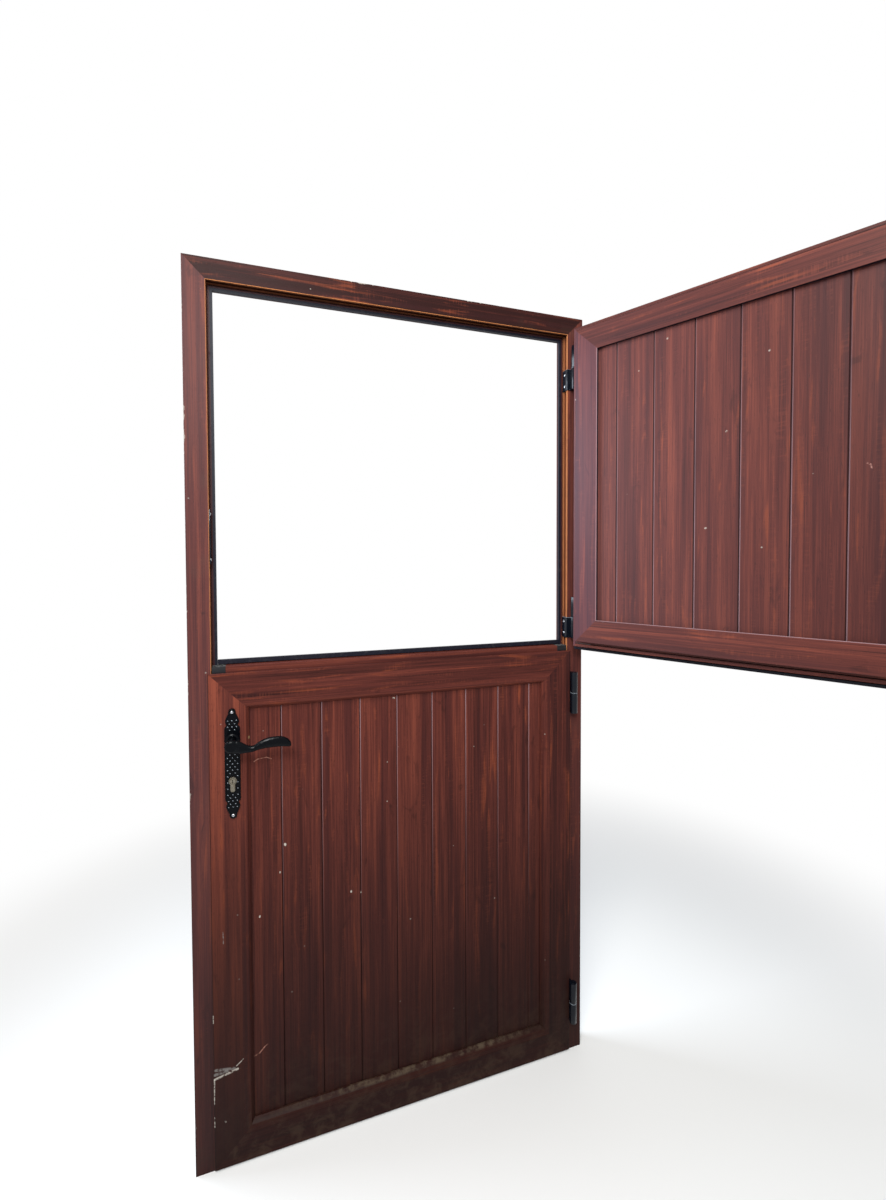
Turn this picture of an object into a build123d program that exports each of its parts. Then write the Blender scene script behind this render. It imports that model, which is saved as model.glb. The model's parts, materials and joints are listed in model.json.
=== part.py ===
"""A two-leaf stable door in its frame: aluminium bars, hollow slats, hinges and locks.

X runs from the lock side to the hinge side, Y from the room to the outside, Z upward.
The origin is the foot of the hinge jamb, at its back corner on the room side.
The lower leaf is closed and the upper leaf stands open by OPEN_ANGLE.
"""
import os

from build123d import *

os.makedirs("parts", exist_ok=True)

# Frame bars
FRAME_WIDTH = 1010.0
FRAME_HEIGHT = 2064.0
FRAME_FACE = 48.0
FRAME_DEPTH = 40.0
FRAME_WEB = 20.9
FLANGE = 9.0
FLANGE_BACK = 26.0
WALL = 1.6

# Hardware groove, the same in the frame bars and the leaf bars
GROOVE_OPEN = 11.0
GROOVE_WIDE = 15.0
GROOVE_LIP = 2.0
GROOVE_DEPTH = 6.0
GROOVE_Y = 11.0

# Leaf bars, measured inward from the edge of the lapping wing
PROUD = 8.0
LAP = 7.0
EDGE_GAP = 6.0
WING = 2.5
BODY_INNER = 64.0
BODY_DEPTH = 30.0
STEP = 16.0
LEAF_DEPTH = FRAME_DEPTH + PROUD
LEG = 25.0
LEG_THICK = 2.0
CLEAT_LEG = 64.0

# Leaf heights at the wing edges
LOWER_BOTTOM = 6.0
LOWER_TOP = 1145.0
UPPER_TOP = FRAME_HEIGHT - FRAME_FACE + LAP
LEDGE = 1159.0
UPPER_BOTTOM = LEDGE - LAP
OPEN_ANGLE = 116.5

# Slats and the beads and gaskets that hold them
SLAT_PITCH = 93.0
SLAT_THICK = 22.0
SLAT_FRONT = 16.0
SLAT_WALL = 1.4
SLAT_VEE = 2.0
SLAT_SEAM = 0.2
TONGUE = 6.0
PANEL_GAP = 0.5
FIRST_SLAT_CUT = 2.1
BEAD_WIDE = 22.0
BEAD_WALL = 1.3
GASKET_REACH = 12.0
GASKET_GAP = 0.5
WING_GASKET_GAP = 0.3

# Meeting rail and its end caps
CAP_LONG = 30.0
CAP_GAP = 1.5
CAP_BACK_START = 12.6
SPIGOT = 18.0
SPIGOT_GAP = 0.3

# Hinges
HINGE_OUT = 14.0
HINGE_Y = -16.0
HINGE_HEIGHT = 114.0
HINGE_SPLIT = 1.0
BARREL_RADIUS = 9.5
SHOULDER = 6.5
PIN_RADIUS = 5.0
ARM = 3.0
ARM_GAP = 0.2
HINGE_PLATE = 2.3
HINGE_PLATE_END = 20.0
LOWER_HINGES = (LOWER_BOTTOM + 141.0, LOWER_TOP - 117.0)
UPPER_HINGES = (UPPER_BOTTOM + 85.5, UPPER_TOP - 101.5)
SEAT = 0.02
RUNNING = 0.05

# Lower lock
BACKSET = 36.5
LOCK_DOWN = 205.0
LOCK_MIDDLE = LOWER_TOP - LOCK_DOWN
SPINDLE_Z = LOCK_MIDDLE + 54.0
CYLINDER_Z = SPINDLE_Z - 92.0
CASE_DEEP = 48.5
CASE_THICK = 14.0
CASE_LOW = CYLINDER_Z - 31.0
CASE_HIGH = SPINDLE_Z + 26.0
CASE_WALL = 1.5
FACE_LONG = 245.0
FACE_THICK = 2.0
LATCH_OUT = 15.0
LATCH_HIGH = 24.0
BOLT_THICK = 9.6
BOLT_LOW = CYLINDER_Z + 20.0
BOLT_HIGH = BOLT_LOW + 30.0
SPINDLE = 8.0
HUB_RADIUS = 8.0
CYLINDER_RADIUS = 8.5
CYLINDER_TAIL = 24.5
PLUG_RADIUS = 6.5
CAM_RADIUS = 8.2

# Handle plates and levers
PLATE_LONG = 250.0
PLATE_WIDE = 33.0
PLATE_THICK = 8.0
LEVER_OFF = 44.0
LEVER_THICK = 12.0
LEVER_LONG = 126.0

# Keepers on the lock jamb
KEEPER_THICK = 2.5
KEEPER_WIDE = 19.0
LOWER_KEEPER = 170.0
UPPER_KEEPER = 122.0

# Upper latch
UPPER_LATCH_Z = UPPER_BOTTOM + 299.0
UPPER_CASE = 50.0
UPPER_BOLT_HIGH = 16.0
KNOB_SET = 27.0
KNOB_RADIUS = 5.0

# Wall fixing holes through the groove of each jamb
FIXING_RADIUS = 4.2
FIXING_FIRST = 280.0
FIXING_PITCH = 780.0
FIXINGS = 3

OUTSIDE = Vector(0, 1, 0)
ARRIS_LOCK = -FRAME_WIDTH + FRAME_FACE
ARRIS_HINGE = -FRAME_FACE
LEAF_LOCK = ARRIS_LOCK - LAP
LEAF_HINGE = ARRIS_HINGE + LAP
BODY_EDGE = LAP + EDGE_GAP
MAIN_EDGE = BODY_EDGE + STEP
HINGE_X = ARRIS_HINGE + HINGE_OUT
LOCK_X = LEAF_LOCK + BODY_EDGE + BACKSET
GROOVE_V = GROOVE_Y + PROUD
HINGE_AXIS = Axis((HINGE_X, HINGE_Y, 0), (0, 0, 1))


def rect(u0, u1, v0, v1):
    """A rectangle of a bar's section: u inward from its edge, v from its room face."""
    return Pos((u0 + u1) / 2, (v0 + v1) / 2) * Rectangle(abs(u1 - u0), abs(v1 - v0))


def block(x0, x1, y0, y1, z0, z1):
    """A box between two corners."""
    middle = Pos((x0 + x1) / 2, (y0 + y1) / 2, (z0 + z1) / 2)
    return middle * Box(abs(x1 - x0), abs(y1 - y0), abs(z1 - z0))


def rod(start, end, radius):
    """A round rod between two points."""
    start = Vector(*start)
    way = Vector(*end) - start
    return extrude(Plane(start, z_dir=way) * Circle(radius), amount=way.length, dir=way)


def rounded(section, corners, radius):
    """A section with the corners nearest to the given points rounded."""
    chosen = [section.vertices().sort_by_distance(Vector(*corner))[0] for corner in corners]
    return fillet(chosen, radius)


def member(section, corner, inward, length, mitre_start=True, mitre_end=True):
    """A straight bar of one section, its ends cut square or to 45 degrees."""
    corner = Vector(*corner)
    run = inward.cross(OUTSIDE)
    bar = extrude(Plane(corner, x_dir=inward, z_dir=run) * section, amount=length, dir=run)
    if mitre_start:
        bar = split(bar, bisect_by=Plane(corner, z_dir=run - inward), keep=Keep.TOP)
    if mitre_end:
        end = corner + run * length
        bar = split(bar, bisect_by=Plane(end, z_dir=-run - inward), keep=Keep.TOP)
    return bar


def sides(section, x0, x1, y0, z0, z1, foot=True):
    """The bars round an opening; without a foot the uprights stand square on the floor."""
    tall = z1 - z0
    wide = x1 - x0
    bars = {
        "lock": member(section, (x0, y0, z0), Vector(1, 0, 0), tall, foot, True),
        "top": member(section, (x0, y0, z1), Vector(0, 0, -1), wide),
        "hinge": member(section, (x1, y0, z1), Vector(-1, 0, 0), tall, True, foot),
    }
    if foot:
        bars["bottom"] = member(section, (x1, y0, z0), Vector(0, 0, 1), wide)
    return bars


def cleat(section, corner, first_inward, second_inward, leg):
    """An angle piece inside a mitred corner, one leg in each bar."""
    corner = Vector(*corner)
    start = corner - first_inward.cross(OUTSIDE) * leg
    first = member(section, start, first_inward, leg, False, True)
    return first + member(section, corner, second_inward, leg, True, False)


def corner_cleats(section, x0, x1, y0, z0, z1, leg, foot=True):
    """One angle piece in each mitred corner of an opening."""
    right = Vector(1, 0, 0)
    down = Vector(0, 0, -1)
    cleats = [
        cleat(section, (x0, y0, z1), right, down, leg),
        cleat(section, (x1, y0, z1), down, -right, leg),
    ]
    if foot:
        cleats.append(cleat(section, (x1, y0, z0), -right, -down, leg))
        cleats.append(cleat(section, (x0, y0, z0), -down, right, leg))
    return cleats


def joined(pieces):
    """Several touching pieces made into one."""
    pieces = list(pieces)
    whole = pieces[0]
    for piece in pieces[1:]:
        whole = whole + piece
    return whole


def opened(piece):
    """A piece of the upper leaf, swung from closed to its open rest."""
    return piece.rotate(HINGE_AXIS, OPEN_ANGLE)


def save(name, *pieces):
    """Write one node; every separate solid in it stays separate."""
    solids = [solid for piece in pieces for solid in piece.solids()]
    export_step(solids[0] if len(solids) == 1 else Compound(solids), f"parts/{name}.step")


def hardware_groove(edge, way):
    """The undercut groove in a bar's edge; way is the side of the edge it lies on."""
    middle = GROOVE_Y if way < 0 else GROOVE_V
    half_open = GROOVE_OPEN / 2
    half_wide = GROOVE_WIDE / 2
    lip = edge + way * GROOVE_LIP
    neck = rect(edge, lip, middle - half_open, middle + half_open)
    return neck + rect(lip, edge + way * GROOVE_DEPTH, middle - half_wide, middle + half_wide)


def frame_section():
    """Frame bar: two chambers, the groove in its inner edge and the stop flange."""
    solid = rect(0, FRAME_FACE, 0, FRAME_DEPTH)
    solid += rect(FRAME_FACE, FRAME_FACE + FLANGE, FLANGE_BACK, FRAME_DEPTH)
    solid = rounded(solid, [(FRAME_FACE, 0), (0, 0)], 1.0)
    deep = FRAME_FACE - GROOVE_DEPTH - WALL
    front = rect(WALL, deep, WALL, FRAME_WEB - WALL / 2)
    back = rect(WALL, FRAME_FACE - WALL, FRAME_WEB + WALL / 2, FRAME_DEPTH - WALL)
    back += rect(deep, FRAME_FACE + FLANGE - WALL, FLANGE_BACK + WALL, FRAME_DEPTH - WALL)
    return solid - front - back - hardware_groove(FRAME_FACE, -1)


def stop_gasket_section(edge):
    """Soft gasket clipped over the room edge of a stop flange."""
    front = BODY_DEPTH - PROUD + GASKET_GAP
    strip = rect(edge + 2, edge + GASKET_REACH, front, FLANGE_BACK)
    return strip + rect(edge + FLANGE, edge + GASKET_REACH, FLANGE_BACK, FLANGE_BACK + 4)


def leaf_section():
    """Leaf bar: wing over the frame, grooved body, outside part set in by the step."""
    solid = rect(0, BODY_INNER, 0, WING) + rect(BODY_EDGE, BODY_INNER, 0, BODY_DEPTH)
    solid += rect(MAIN_EDGE, BODY_INNER, BODY_DEPTH, LEAF_DEPTH)
    solid += rect(BODY_INNER, BODY_INNER + LEG, LEAF_DEPTH - LEG_THICK, LEAF_DEPTH)
    solid = rounded(solid, [(0, 0), (MAIN_EDGE, LEAF_DEPTH)], 1.2)
    inside = BODY_INNER - WALL
    front = rect(BODY_EDGE + GROOVE_DEPTH + WALL, inside, WALL, BODY_DEPTH - WALL / 2)
    back = rect(MAIN_EDGE + WALL, inside, BODY_DEPTH + WALL / 2, LEAF_DEPTH - WALL)
    line = (BODY_EDGE + MAIN_EDGE) / 2
    shallow = rect(line - 1.5, line + 1.5, BODY_DEPTH - 0.8, BODY_DEPTH)
    return solid - front - back - shallow - hardware_groove(BODY_EDGE, 1)


def bead_section():
    """Hollow clip-in bead with a rounded shoulder down to the slats."""
    inner = BODY_INNER + BEAD_WIDE

    def shape(inset, low):
        return make_face(Polyline(
            (BODY_INNER + inset, low + inset),
            (BODY_INNER + 9, low + 0.4 + inset),
            (BODY_INNER + 15 - inset / 2, low + 2.6 + inset),
            (inner - 3.5 - inset / 2, low + 7 + inset),
            (inner - inset, SLAT_FRONT - 3.5),
            (inner - inset, SLAT_FRONT - inset),
            (BODY_INNER + inset, SLAT_FRONT - inset),
            close=True,
        ))

    return shape(0, 0.3) - shape(BEAD_WALL, 0.3)


def panel_gasket_section():
    """Gasket between the outside leg of a bar and the back of the slats."""
    low = SLAT_FRONT + SLAT_THICK
    high = LEAF_DEPTH - LEG_THICK
    foot = rect(BODY_INNER, BODY_INNER + LEG - 3, high - 2.5, high)
    return foot + rect(BODY_INNER + 8, BODY_INNER + LEG - 1, low, high - 2.5)


def wing_gasket_section():
    """Gasket behind the wing, just short of the frame's face."""
    return rect(0.6, 7, WING, WING + 2) + rect(2.5, 7, WING + 2, PROUD - WING_GASKET_GAP)


def slat_section(left, right, tongue, groove):
    """Hollow slat between two seams, with its vees, tongue and groove as asked."""
    front = SLAT_FRONT - PROUD
    back = front + SLAT_THICK
    middle = (front + back) / 2
    left_vee = SLAT_VEE if groove else 0.4
    right_vee = SLAT_VEE if tongue else 0.4
    outline = Polyline(
        (left, front + left_vee),
        (left + left_vee, front),
        (right - right_vee, front),
        (right, front + right_vee),
        (right, back - right_vee),
        (right - right_vee, back),
        (left + left_vee, back),
        (left, back - left_vee),
        close=True,
    )
    shape = make_face(outline)
    start = left + (TONGUE + 3 if groove else 2 * SLAT_WALL)
    end = right - 2 * SLAT_WALL
    shape -= rect(start, end, front + SLAT_WALL, back - SLAT_WALL)
    if tongue:
        shape += rect(right, right + TONGUE, middle - 3, middle + 3)
    if groove:
        shape -= rect(left, left + TONGUE + 0.6, middle - 3.2, middle + 3.2)
    return shape


def slats(centred, z0, z1):
    """The row of slats across one leaf, cut at both ends or only at the hinge side."""
    left = LEAF_LOCK + BODY_INNER + PANEL_GAP
    right = LEAF_HINGE - BODY_INNER - PANEL_GAP
    whole = int((right - left) / SLAT_PITCH) - 1
    first = (right - left - whole * SLAT_PITCH) / 2 if centred else SLAT_PITCH - FIRST_SLAT_CUT
    edges = [left] + [left + first + n * SLAT_PITCH for n in range(whole + 1)] + [right]
    row = []
    for n in range(len(edges) - 1):
        start = edges[n] + (SLAT_SEAM / 2 if n else 0)
        last = n == len(edges) - 2
        end = edges[n + 1] - (0 if last else SLAT_SEAM / 2)
        section = Pos(0, 0, z0) * slat_section(start, end, not last, n > 0)
        row.append(extrude(section, amount=z1 - z0, dir=(0, 0, 1)))
    return row


def groove_foot(edge, way, z0, z1):
    """Tee foot that clamps a fitting in a groove; way is the side that the groove lies on."""
    lip = edge + way * GROOVE_LIP
    end = edge + way * (GROOVE_DEPTH - 0.4)
    foot = block(edge, lip, GROOVE_Y - 5.2, GROOVE_Y + 5.2, z0, z1)
    return foot + block(lip, end, GROOVE_Y - 7.1, GROOVE_Y + 7.1, z0, z1)


def hinge_half(edge, way, inner, z0, z1):
    """Barrel, arm under the wing, plate in the gap and tee foot of one hinge half."""
    face = edge - way * HINGE_PLATE
    barrel = Pos(HINGE_X, HINGE_Y, z0) * RegularPolygon(BARREL_RADIUS, 24)
    half = extrude(barrel, amount=z1 - z0, dir=(0, 0, 1))
    half += block(inner, HINGE_X - SHOULDER, HINGE_Y + 3, -ARM_GAP, z0, z1)
    half += block(min(edge, face), HINGE_X, -ARM - ARM_GAP, -ARM_GAP, z0, z1)
    half += block(edge, face, -ARM - ARM_GAP, HINGE_PLATE_END, z0, z1)
    return half + groove_foot(edge, way, z0 + 5, z1 - 5)


def frame_hinge_half(middle):
    """Lower half of a hinge on the jamb, with the pin pressed into it."""
    low = middle - HINGE_HEIGHT / 2
    high = middle + HINGE_HEIGHT / 2
    half = hinge_half(ARRIS_HINGE, 1, HINGE_X + SHOULDER, low, middle - HINGE_SPLIT / 2)
    return half + rod((HINGE_X, HINGE_Y, low), (HINGE_X, HINGE_Y, high), PIN_RADIUS)


def leaf_hinge_half(middle):
    """Upper half of a hinge on the leaf, turning on the pin."""
    low = middle + HINGE_SPLIT / 2
    high = middle + HINGE_HEIGHT / 2
    half = hinge_half(LEAF_HINGE - BODY_EDGE, -1, HINGE_X, low, high)
    hole = rod((HINGE_X, HINGE_Y, low - 1), (HINGE_X, HINGE_Y, high + 1), PIN_RADIUS + RUNNING)
    return half - hole


def keeper(middle, tall, openings):
    """Plate on the lock jamb's edge with its openings and its two tee feet."""
    face = ARRIS_LOCK + KEEPER_THICK
    low_end = middle - tall / 2
    high_end = middle + tall / 2
    half_wide = KEEPER_WIDE / 2
    plate = block(
        ARRIS_LOCK, face, GROOVE_Y - half_wide, GROOVE_Y + half_wide, low_end, high_end
    )
    for low, high in openings:
        half = GROOVE_OPEN / 2
        plate -= block(ARRIS_LOCK - 1, face + 1, GROOVE_Y - half, GROOVE_Y + half, low, high)
    for z in (low_end + 3, high_end - 17):
        plate += groove_foot(ARRIS_LOCK, -1, z, z + 14)
    return plate


def cylinder_outline(gap=0.0):
    """Profile of the lock cylinder in the XZ plane about its plug's centre."""
    half = 5 + gap
    end = CYLINDER_TAIL + gap
    tail = Polyline(
        (-half, 0), (-half, 3 - end), (-half + 3, -end), (half - 3, -end), (half, 3 - end), (half, 0),
        close=True,
    )
    return Circle(CYLINDER_RADIUS + gap) + make_face(tail)


def along_y(section, x, z, y0, y1):
    """A section drawn facing the room, extruded from one Y to another."""
    plane = Plane((x, y0, z), x_dir=(1, 0, 0), z_dir=(0, -1, 0))
    return extrude(plane * section, amount=y1 - y0, dir=(0, 1, 0))


def handle_plate():
    """Outline of a handle plate, its two ends waisted, flared and rounded."""
    half = PLATE_WIDE / 2
    size = PLATE_LONG / 250
    side = [
        (half, 81 * size), (half - 4.7, 86.5 * size), (half - 4.7, 89.5 * size),
        (half - 1.9, 96.5 * size), (half - 5, 106 * size), (half - 9.4, 113 * size),
    ]
    ring = side + [(-x, z) for x, z in reversed(side)]
    ring += [(-x, -z) for x, z in side] + [(x, -z) for x, z in reversed(side)]
    shape = make_face(Polyline(*ring, close=True))
    for end in (1, -1):
        shape += Pos(0, end * (PLATE_LONG / 2 - 8)) * RegularPolygon(8, 12)
    return shape


def lever_outline():
    """Side view of a lever: round hub, waist, full back and level underside."""
    size = LEVER_LONG / 126
    back = [(8, 12), (22, 6), (32, 3), (44, 3), (60, 12), (77, 16.5), (99, 20.5), (114, 17), (124, 7)]
    under = [(126, -2), (118, -5.5), (99, -4.5), (77, -5.5), (60, -8.5), (45, -12), (30, -14), (8, -14.5)]
    ring = [(x * size, z * size) for x, z in back + under]
    return make_face(Polyline(*ring, close=True)) + RegularPolygon(15 * size, 16)


def lever(face, way):
    """A lever with its neck; face is the plate's outer face and way its side."""
    near = face + way * (LEVER_OFF - LEVER_THICK / 2)
    far = near + way * LEVER_THICK
    neck = rod((LOCK_X, face - way * PLATE_THICK, SPINDLE_Z), (LOCK_X, near, SPINDLE_Z), 8)
    grip = along_y(lever_outline(), LOCK_X, SPINDLE_Z, min(near, far), max(near, far))
    outer = grip.faces().sort_by(Axis.Y)[-1 if way > 0 else 0]
    grip = chamfer(outer.edges(), LEVER_THICK / 6)
    half = SPINDLE / 2 + SEAT
    socket = block(
        LOCK_X - half, LOCK_X + half, face - way * PLATE_THICK, face + way * 16,
        SPINDLE_Z - half, SPINDLE_Z + half,
    )
    return neck + grip - socket


# Frame
frame = sides(frame_section(), -FRAME_WIDTH, 0, 0, 0, FRAME_HEIGHT, foot=False)
fixing_heights = [FIXING_FIRST + n * FIXING_PITCH for n in range(FIXINGS)]
for z in fixing_heights:
    end = FRAME_FACE - GROOVE_DEPTH + 1
    frame["hinge"] -= rod((1, GROOVE_Y, z), (-end, GROOVE_Y, z), FIXING_RADIUS)
    frame["lock"] -= rod(
        (-FRAME_WIDTH - 1, GROOVE_Y, z), (-FRAME_WIDTH + end, GROOVE_Y, z), FIXING_RADIUS
    )
latch_slot = (SPINDLE_Z - LATCH_HIGH / 2 - 1, SPINDLE_Z + LATCH_HIGH / 2 + 1)
bolt_slot = (BOLT_LOW - 1, BOLT_HIGH + 1)
upper_slot = (UPPER_LATCH_Z - UPPER_BOLT_HIGH / 2 - 1, UPPER_LATCH_Z + UPPER_BOLT_HIGH / 2 + 1)
for low, high in (latch_slot, bolt_slot, upper_slot):
    floor = ARRIS_LOCK - GROOVE_DEPTH
    half = GROOVE_OPEN / 2
    frame["lock"] -= block(floor - 3, floor + 1, GROOVE_Y - half, GROOVE_Y + half, low, high)
save("frame_jamb_hinge", frame["hinge"])
save("frame_jamb_lock", frame["lock"])
save("frame_head", frame["top"])

deep = FRAME_FACE - GROOVE_DEPTH - WALL
angle = rect(WALL, deep - 0.3, WALL, FRAME_WEB - WALL / 2 - 0.3)
angle -= rect(WALL + 5, deep - 5.3, WALL + 5, FRAME_WEB - WALL / 2 - 5.3)
save("frame_corner_cleats", *corner_cleats(angle, -FRAME_WIDTH, 0, 0, 0, FRAME_HEIGHT, CLEAT_LEG, False))

strips = sides(stop_gasket_section(FRAME_FACE), -FRAME_WIDTH, 0, 0, 0, FRAME_HEIGHT, foot=False)
save("frame_gasket", joined(strips.values()))

save("keeper_lower", keeper((CASE_LOW + CASE_HIGH) / 2, LOWER_KEEPER, (latch_slot, bolt_slot)))
save("keeper_upper", keeper(UPPER_LATCH_Z, UPPER_KEEPER, (upper_slot,)))
save("hinge_frame_halves", *[frame_hinge_half(middle) for middle in LOWER_HINGES + UPPER_HINGES])


# Bars, gaskets, beads and slats of both leaves
def leaf(z0, z1, hinges, centred):
    """The plain pieces of one leaf, closed, by name."""
    span = (LEAF_LOCK, LEAF_HINGE, -PROUD, z0, z1)
    bars = sides(leaf_section(), *span)
    inside = BODY_INNER - WALL
    start = BODY_EDGE + GROOVE_DEPTH + WALL
    angle = rect(start + 0.3, inside, WALL, BODY_DEPTH - WALL / 2 - 0.3)
    angle -= rect(start + 6, inside - 5, WALL + 5, BODY_DEPTH - WALL / 2 - 5)
    beads = sides(bead_section(), *span)
    wing = joined(sides(wing_gasket_section(), *span).values())
    for middle in hinges:
        reach = HINGE_HEIGHT / 2 + 1
        wing -= block(
            LEAF_HINGE - 8, LEAF_HINGE, -ARM - 2 * ARM_GAP, 0, middle - reach, middle + reach
        )
    inset = BODY_INNER + PANEL_GAP
    return {
        "bars": bars,
        "corner_cleats": corner_cleats(angle, *span, CLEAT_LEG),
        "bead_lock": [beads["lock"]],
        "bead_top": [beads["top"]],
        "bead_hinge": [beads["hinge"]],
        "bead_bottom": [beads["bottom"]],
        "wing_gasket": [wing],
        "panel_gasket": [joined(sides(panel_gasket_section(), *span).values())],
        "slats": slats(centred, z0 + inset, z1 - inset),
        "hinge_halves": [leaf_hinge_half(middle) for middle in hinges],
    }


def save_leaf(name, pieces, place):
    """Write the plain pieces of one leaf, each put in its place."""
    names = {"lock": "stile_lock", "hinge": "stile_hinge", "top": "rail_top", "bottom": "rail_bottom"}
    for side, bar in pieces["bars"].items():
        save(f"{name}_{names[side]}", place(bar))
    for kind, group in pieces.items():
        if kind != "bars":
            save(f"{name}_{kind}", *[place(piece) for piece in group])


def keep(piece):
    """A piece left where it was drawn."""
    return piece


lower = leaf(LOWER_BOTTOM, LOWER_TOP, LOWER_HINGES, False)
upper = leaf(UPPER_BOTTOM, UPPER_TOP, UPPER_HINGES, True)

# Lower lock: cuts in the stile for the case, the spindle and the cylinder
edge = LEAF_LOCK + BODY_EDGE
room = -PROUD
outer = FRAME_DEPTH
case_front = GROOVE_Y - CASE_THICK / 2
case_back = GROOVE_Y + CASE_THICK / 2
groove_front = GROOVE_Y - GROOVE_WIDE / 2
groove_back = GROOVE_Y + GROOVE_WIDE / 2
face_low = LOCK_MIDDLE - FACE_LONG / 2
face_high = LOCK_MIDDLE + FACE_LONG / 2
stile = lower["bars"]["lock"]
stile -= block(edge - 1, edge + GROOVE_LIP, groove_front, groove_back, face_low, face_high)
floor = edge + GROOVE_DEPTH
stile -= block(
    floor - 1, floor + WALL + 1, groove_front, groove_back, CASE_LOW - 0.5, CASE_HIGH + 0.5
)
for low, high in (
    (SPINDLE_Z - 9, SPINDLE_Z + 9),
    (CYLINDER_Z - CYLINDER_TAIL - 1, CYLINDER_Z + CYLINDER_RADIUS + 1),
):
    stile -= block(LOCK_X - 9, LOCK_X + 9, room - 1, outer + 1, low, high)
lower["bars"]["lock"] = stile

case = block(edge + FACE_THICK, floor, case_front, case_back, face_low, face_high)
case += block(floor, edge + CASE_DEEP, case_front, case_back, CASE_LOW, CASE_HIGH)
case -= block(
    floor + CASE_WALL, edge + CASE_DEEP - CASE_WALL, case_front + CASE_WALL, case_back - CASE_WALL,
    CASE_LOW + CASE_WALL, CASE_HIGH - CASE_WALL,
)
face = block(edge, edge + FACE_THICK, groove_front, groove_back, face_low, face_high)
half_bolt = BOLT_THICK / 2 + 0.1
for low, high in ((latch_slot[0] + 0.8, latch_slot[1] - 0.8), (BOLT_LOW - 0.2, BOLT_HIGH + 0.2)):
    slot = block(
        edge - 1, floor + CASE_WALL + 1, GROOVE_Y - half_bolt, GROOVE_Y + half_bolt, low, high
    )
    case -= slot
    face -= slot
case -= rod((LOCK_X, case_front - 1, SPINDLE_Z), (LOCK_X, case_back + 1, SPINDLE_Z), HUB_RADIUS + RUNNING)
case -= block(
    LOCK_X - 9, LOCK_X + 9, case_front - 1, case_back + 1,
    CYLINDER_Z - CYLINDER_TAIL - 0.5, CYLINDER_Z + CYLINDER_RADIUS + 0.5,
)
save("lock_case", case)
save("lock_faceplate", face)

cylinder_front = room - PLATE_THICK - 1.5
cylinder_back = outer + PLATE_THICK + 1.5
body = along_y(cylinder_outline(), LOCK_X, CYLINDER_Z, cylinder_front, cylinder_back)
body -= rod(
    (LOCK_X, cylinder_front - 1, CYLINDER_Z), (LOCK_X, cylinder_back + 1, CYLINDER_Z),
    PLUG_RADIUS + RUNNING,
)
body -= block(
    LOCK_X - 10, LOCK_X + 10, GROOVE_Y - 5.2, GROOVE_Y + 5.2, CYLINDER_Z - 8.6, CYLINDER_Z + 9
)
save("cylinder_body", body)
plug = rod((LOCK_X, cylinder_front, CYLINDER_Z), (LOCK_X, cylinder_back, CYLINDER_Z), PLUG_RADIUS)
plug += along_y(RegularPolygon(CAM_RADIUS, 16), LOCK_X, CYLINDER_Z, GROOVE_Y - 5, GROOVE_Y + 5)
save("cylinder_plug", plug)

# Latch and dead bolt
half_bolt = BOLT_THICK / 2
latch = block(
    edge - LATCH_OUT, LOCK_X - HUB_RADIUS - LATCH_OUT - 0.8, GROOVE_Y - half_bolt, GROOVE_Y + half_bolt,
    SPINDLE_Z - LATCH_HIGH / 2, SPINDLE_Z + LATCH_HIGH / 2,
)
bevel = Plane((edge - LATCH_OUT, GROOVE_Y - half_bolt + 2, SPINDLE_Z), z_dir=(-1, 0.8, 0))
save("latch_bolt", split(latch, bisect_by=bevel, keep=Keep.BOTTOM))
dead = block(edge + 0.3, LOCK_X - 8, GROOVE_Y - half_bolt, GROOVE_Y + half_bolt, BOLT_LOW, BOLT_HIGH)
save("dead_bolt", dead)

# Handle plates, levers and spindle
outline = handle_plate()
outline -= Pos(0, SPINDLE_Z - LOCK_MIDDLE) * Circle(8 + RUNNING)
outline -= Pos(0, CYLINDER_Z - LOCK_MIDDLE) * cylinder_outline(0.4)
plates = [
    along_y(outline, LOCK_X, LOCK_MIDDLE, room - PLATE_THICK, room),
    along_y(outline, LOCK_X, LOCK_MIDDLE, outer, outer + PLATE_THICK),
]
save("handle_plate_room", plates[0])
save("handle_plate_outside", plates[1])
save("lever_room", lever(room - PLATE_THICK, -1))
save("lever_outside", lever(outer + PLATE_THICK, 1))
half = SPINDLE / 2
spindle = block(
    LOCK_X - half, LOCK_X + half, room - PLATE_THICK - 15, outer + PLATE_THICK + 15,
    SPINDLE_Z - half, SPINDLE_Z + half,
)
save("spindle", spindle)
hub = rod((LOCK_X, case_front, SPINDLE_Z), (LOCK_X, case_back, SPINDLE_Z), HUB_RADIUS)
arm = block(
    LOCK_X - 2.5, LOCK_X + 2.5, GROOVE_Y - half_bolt, GROOVE_Y + half_bolt, SPINDLE_Z, SPINDLE_Z + 15
)
hub += arm.rotate(Axis((LOCK_X, 0, SPINDLE_Z), (0, 1, 0)), -38)
half += SEAT
hub -= block(
    LOCK_X - half, LOCK_X + half, case_front - 1, case_back + 1, SPINDLE_Z - half, SPINDLE_Z + half
)
save("lock_follower", hub)

# Meeting rail on the lower leaf's top edge
top_edge = LOWER_TOP - BODY_EDGE
step_front = BODY_DEPTH - PROUD + 0.2
step_low = LOWER_TOP - MAIN_EDGE + 0.2


def rail_shape(inset):
    """Outline of the meeting rail in Y and Z, drawn smaller by an inset."""
    box = rect(inset, FRAME_DEPTH - inset, top_edge + inset, LEDGE - inset)
    box += rect(FLANGE_BACK + inset, FRAME_DEPTH - inset, LEDGE - 2 * WALL, LEDGE + FLANGE - inset)
    return box + rect(step_front + inset, FRAME_DEPTH - inset, step_low + inset, top_edge + 2 * WALL)


def along_x(section, x0, x1):
    """A section drawn in Y and Z, extruded from one X to another."""
    plane = Plane((x0, 0, 0), x_dir=(0, 1, 0), z_dir=(1, 0, 0))
    return extrude(plane * section, amount=x1 - x0, dir=(1, 0, 0))


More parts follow.
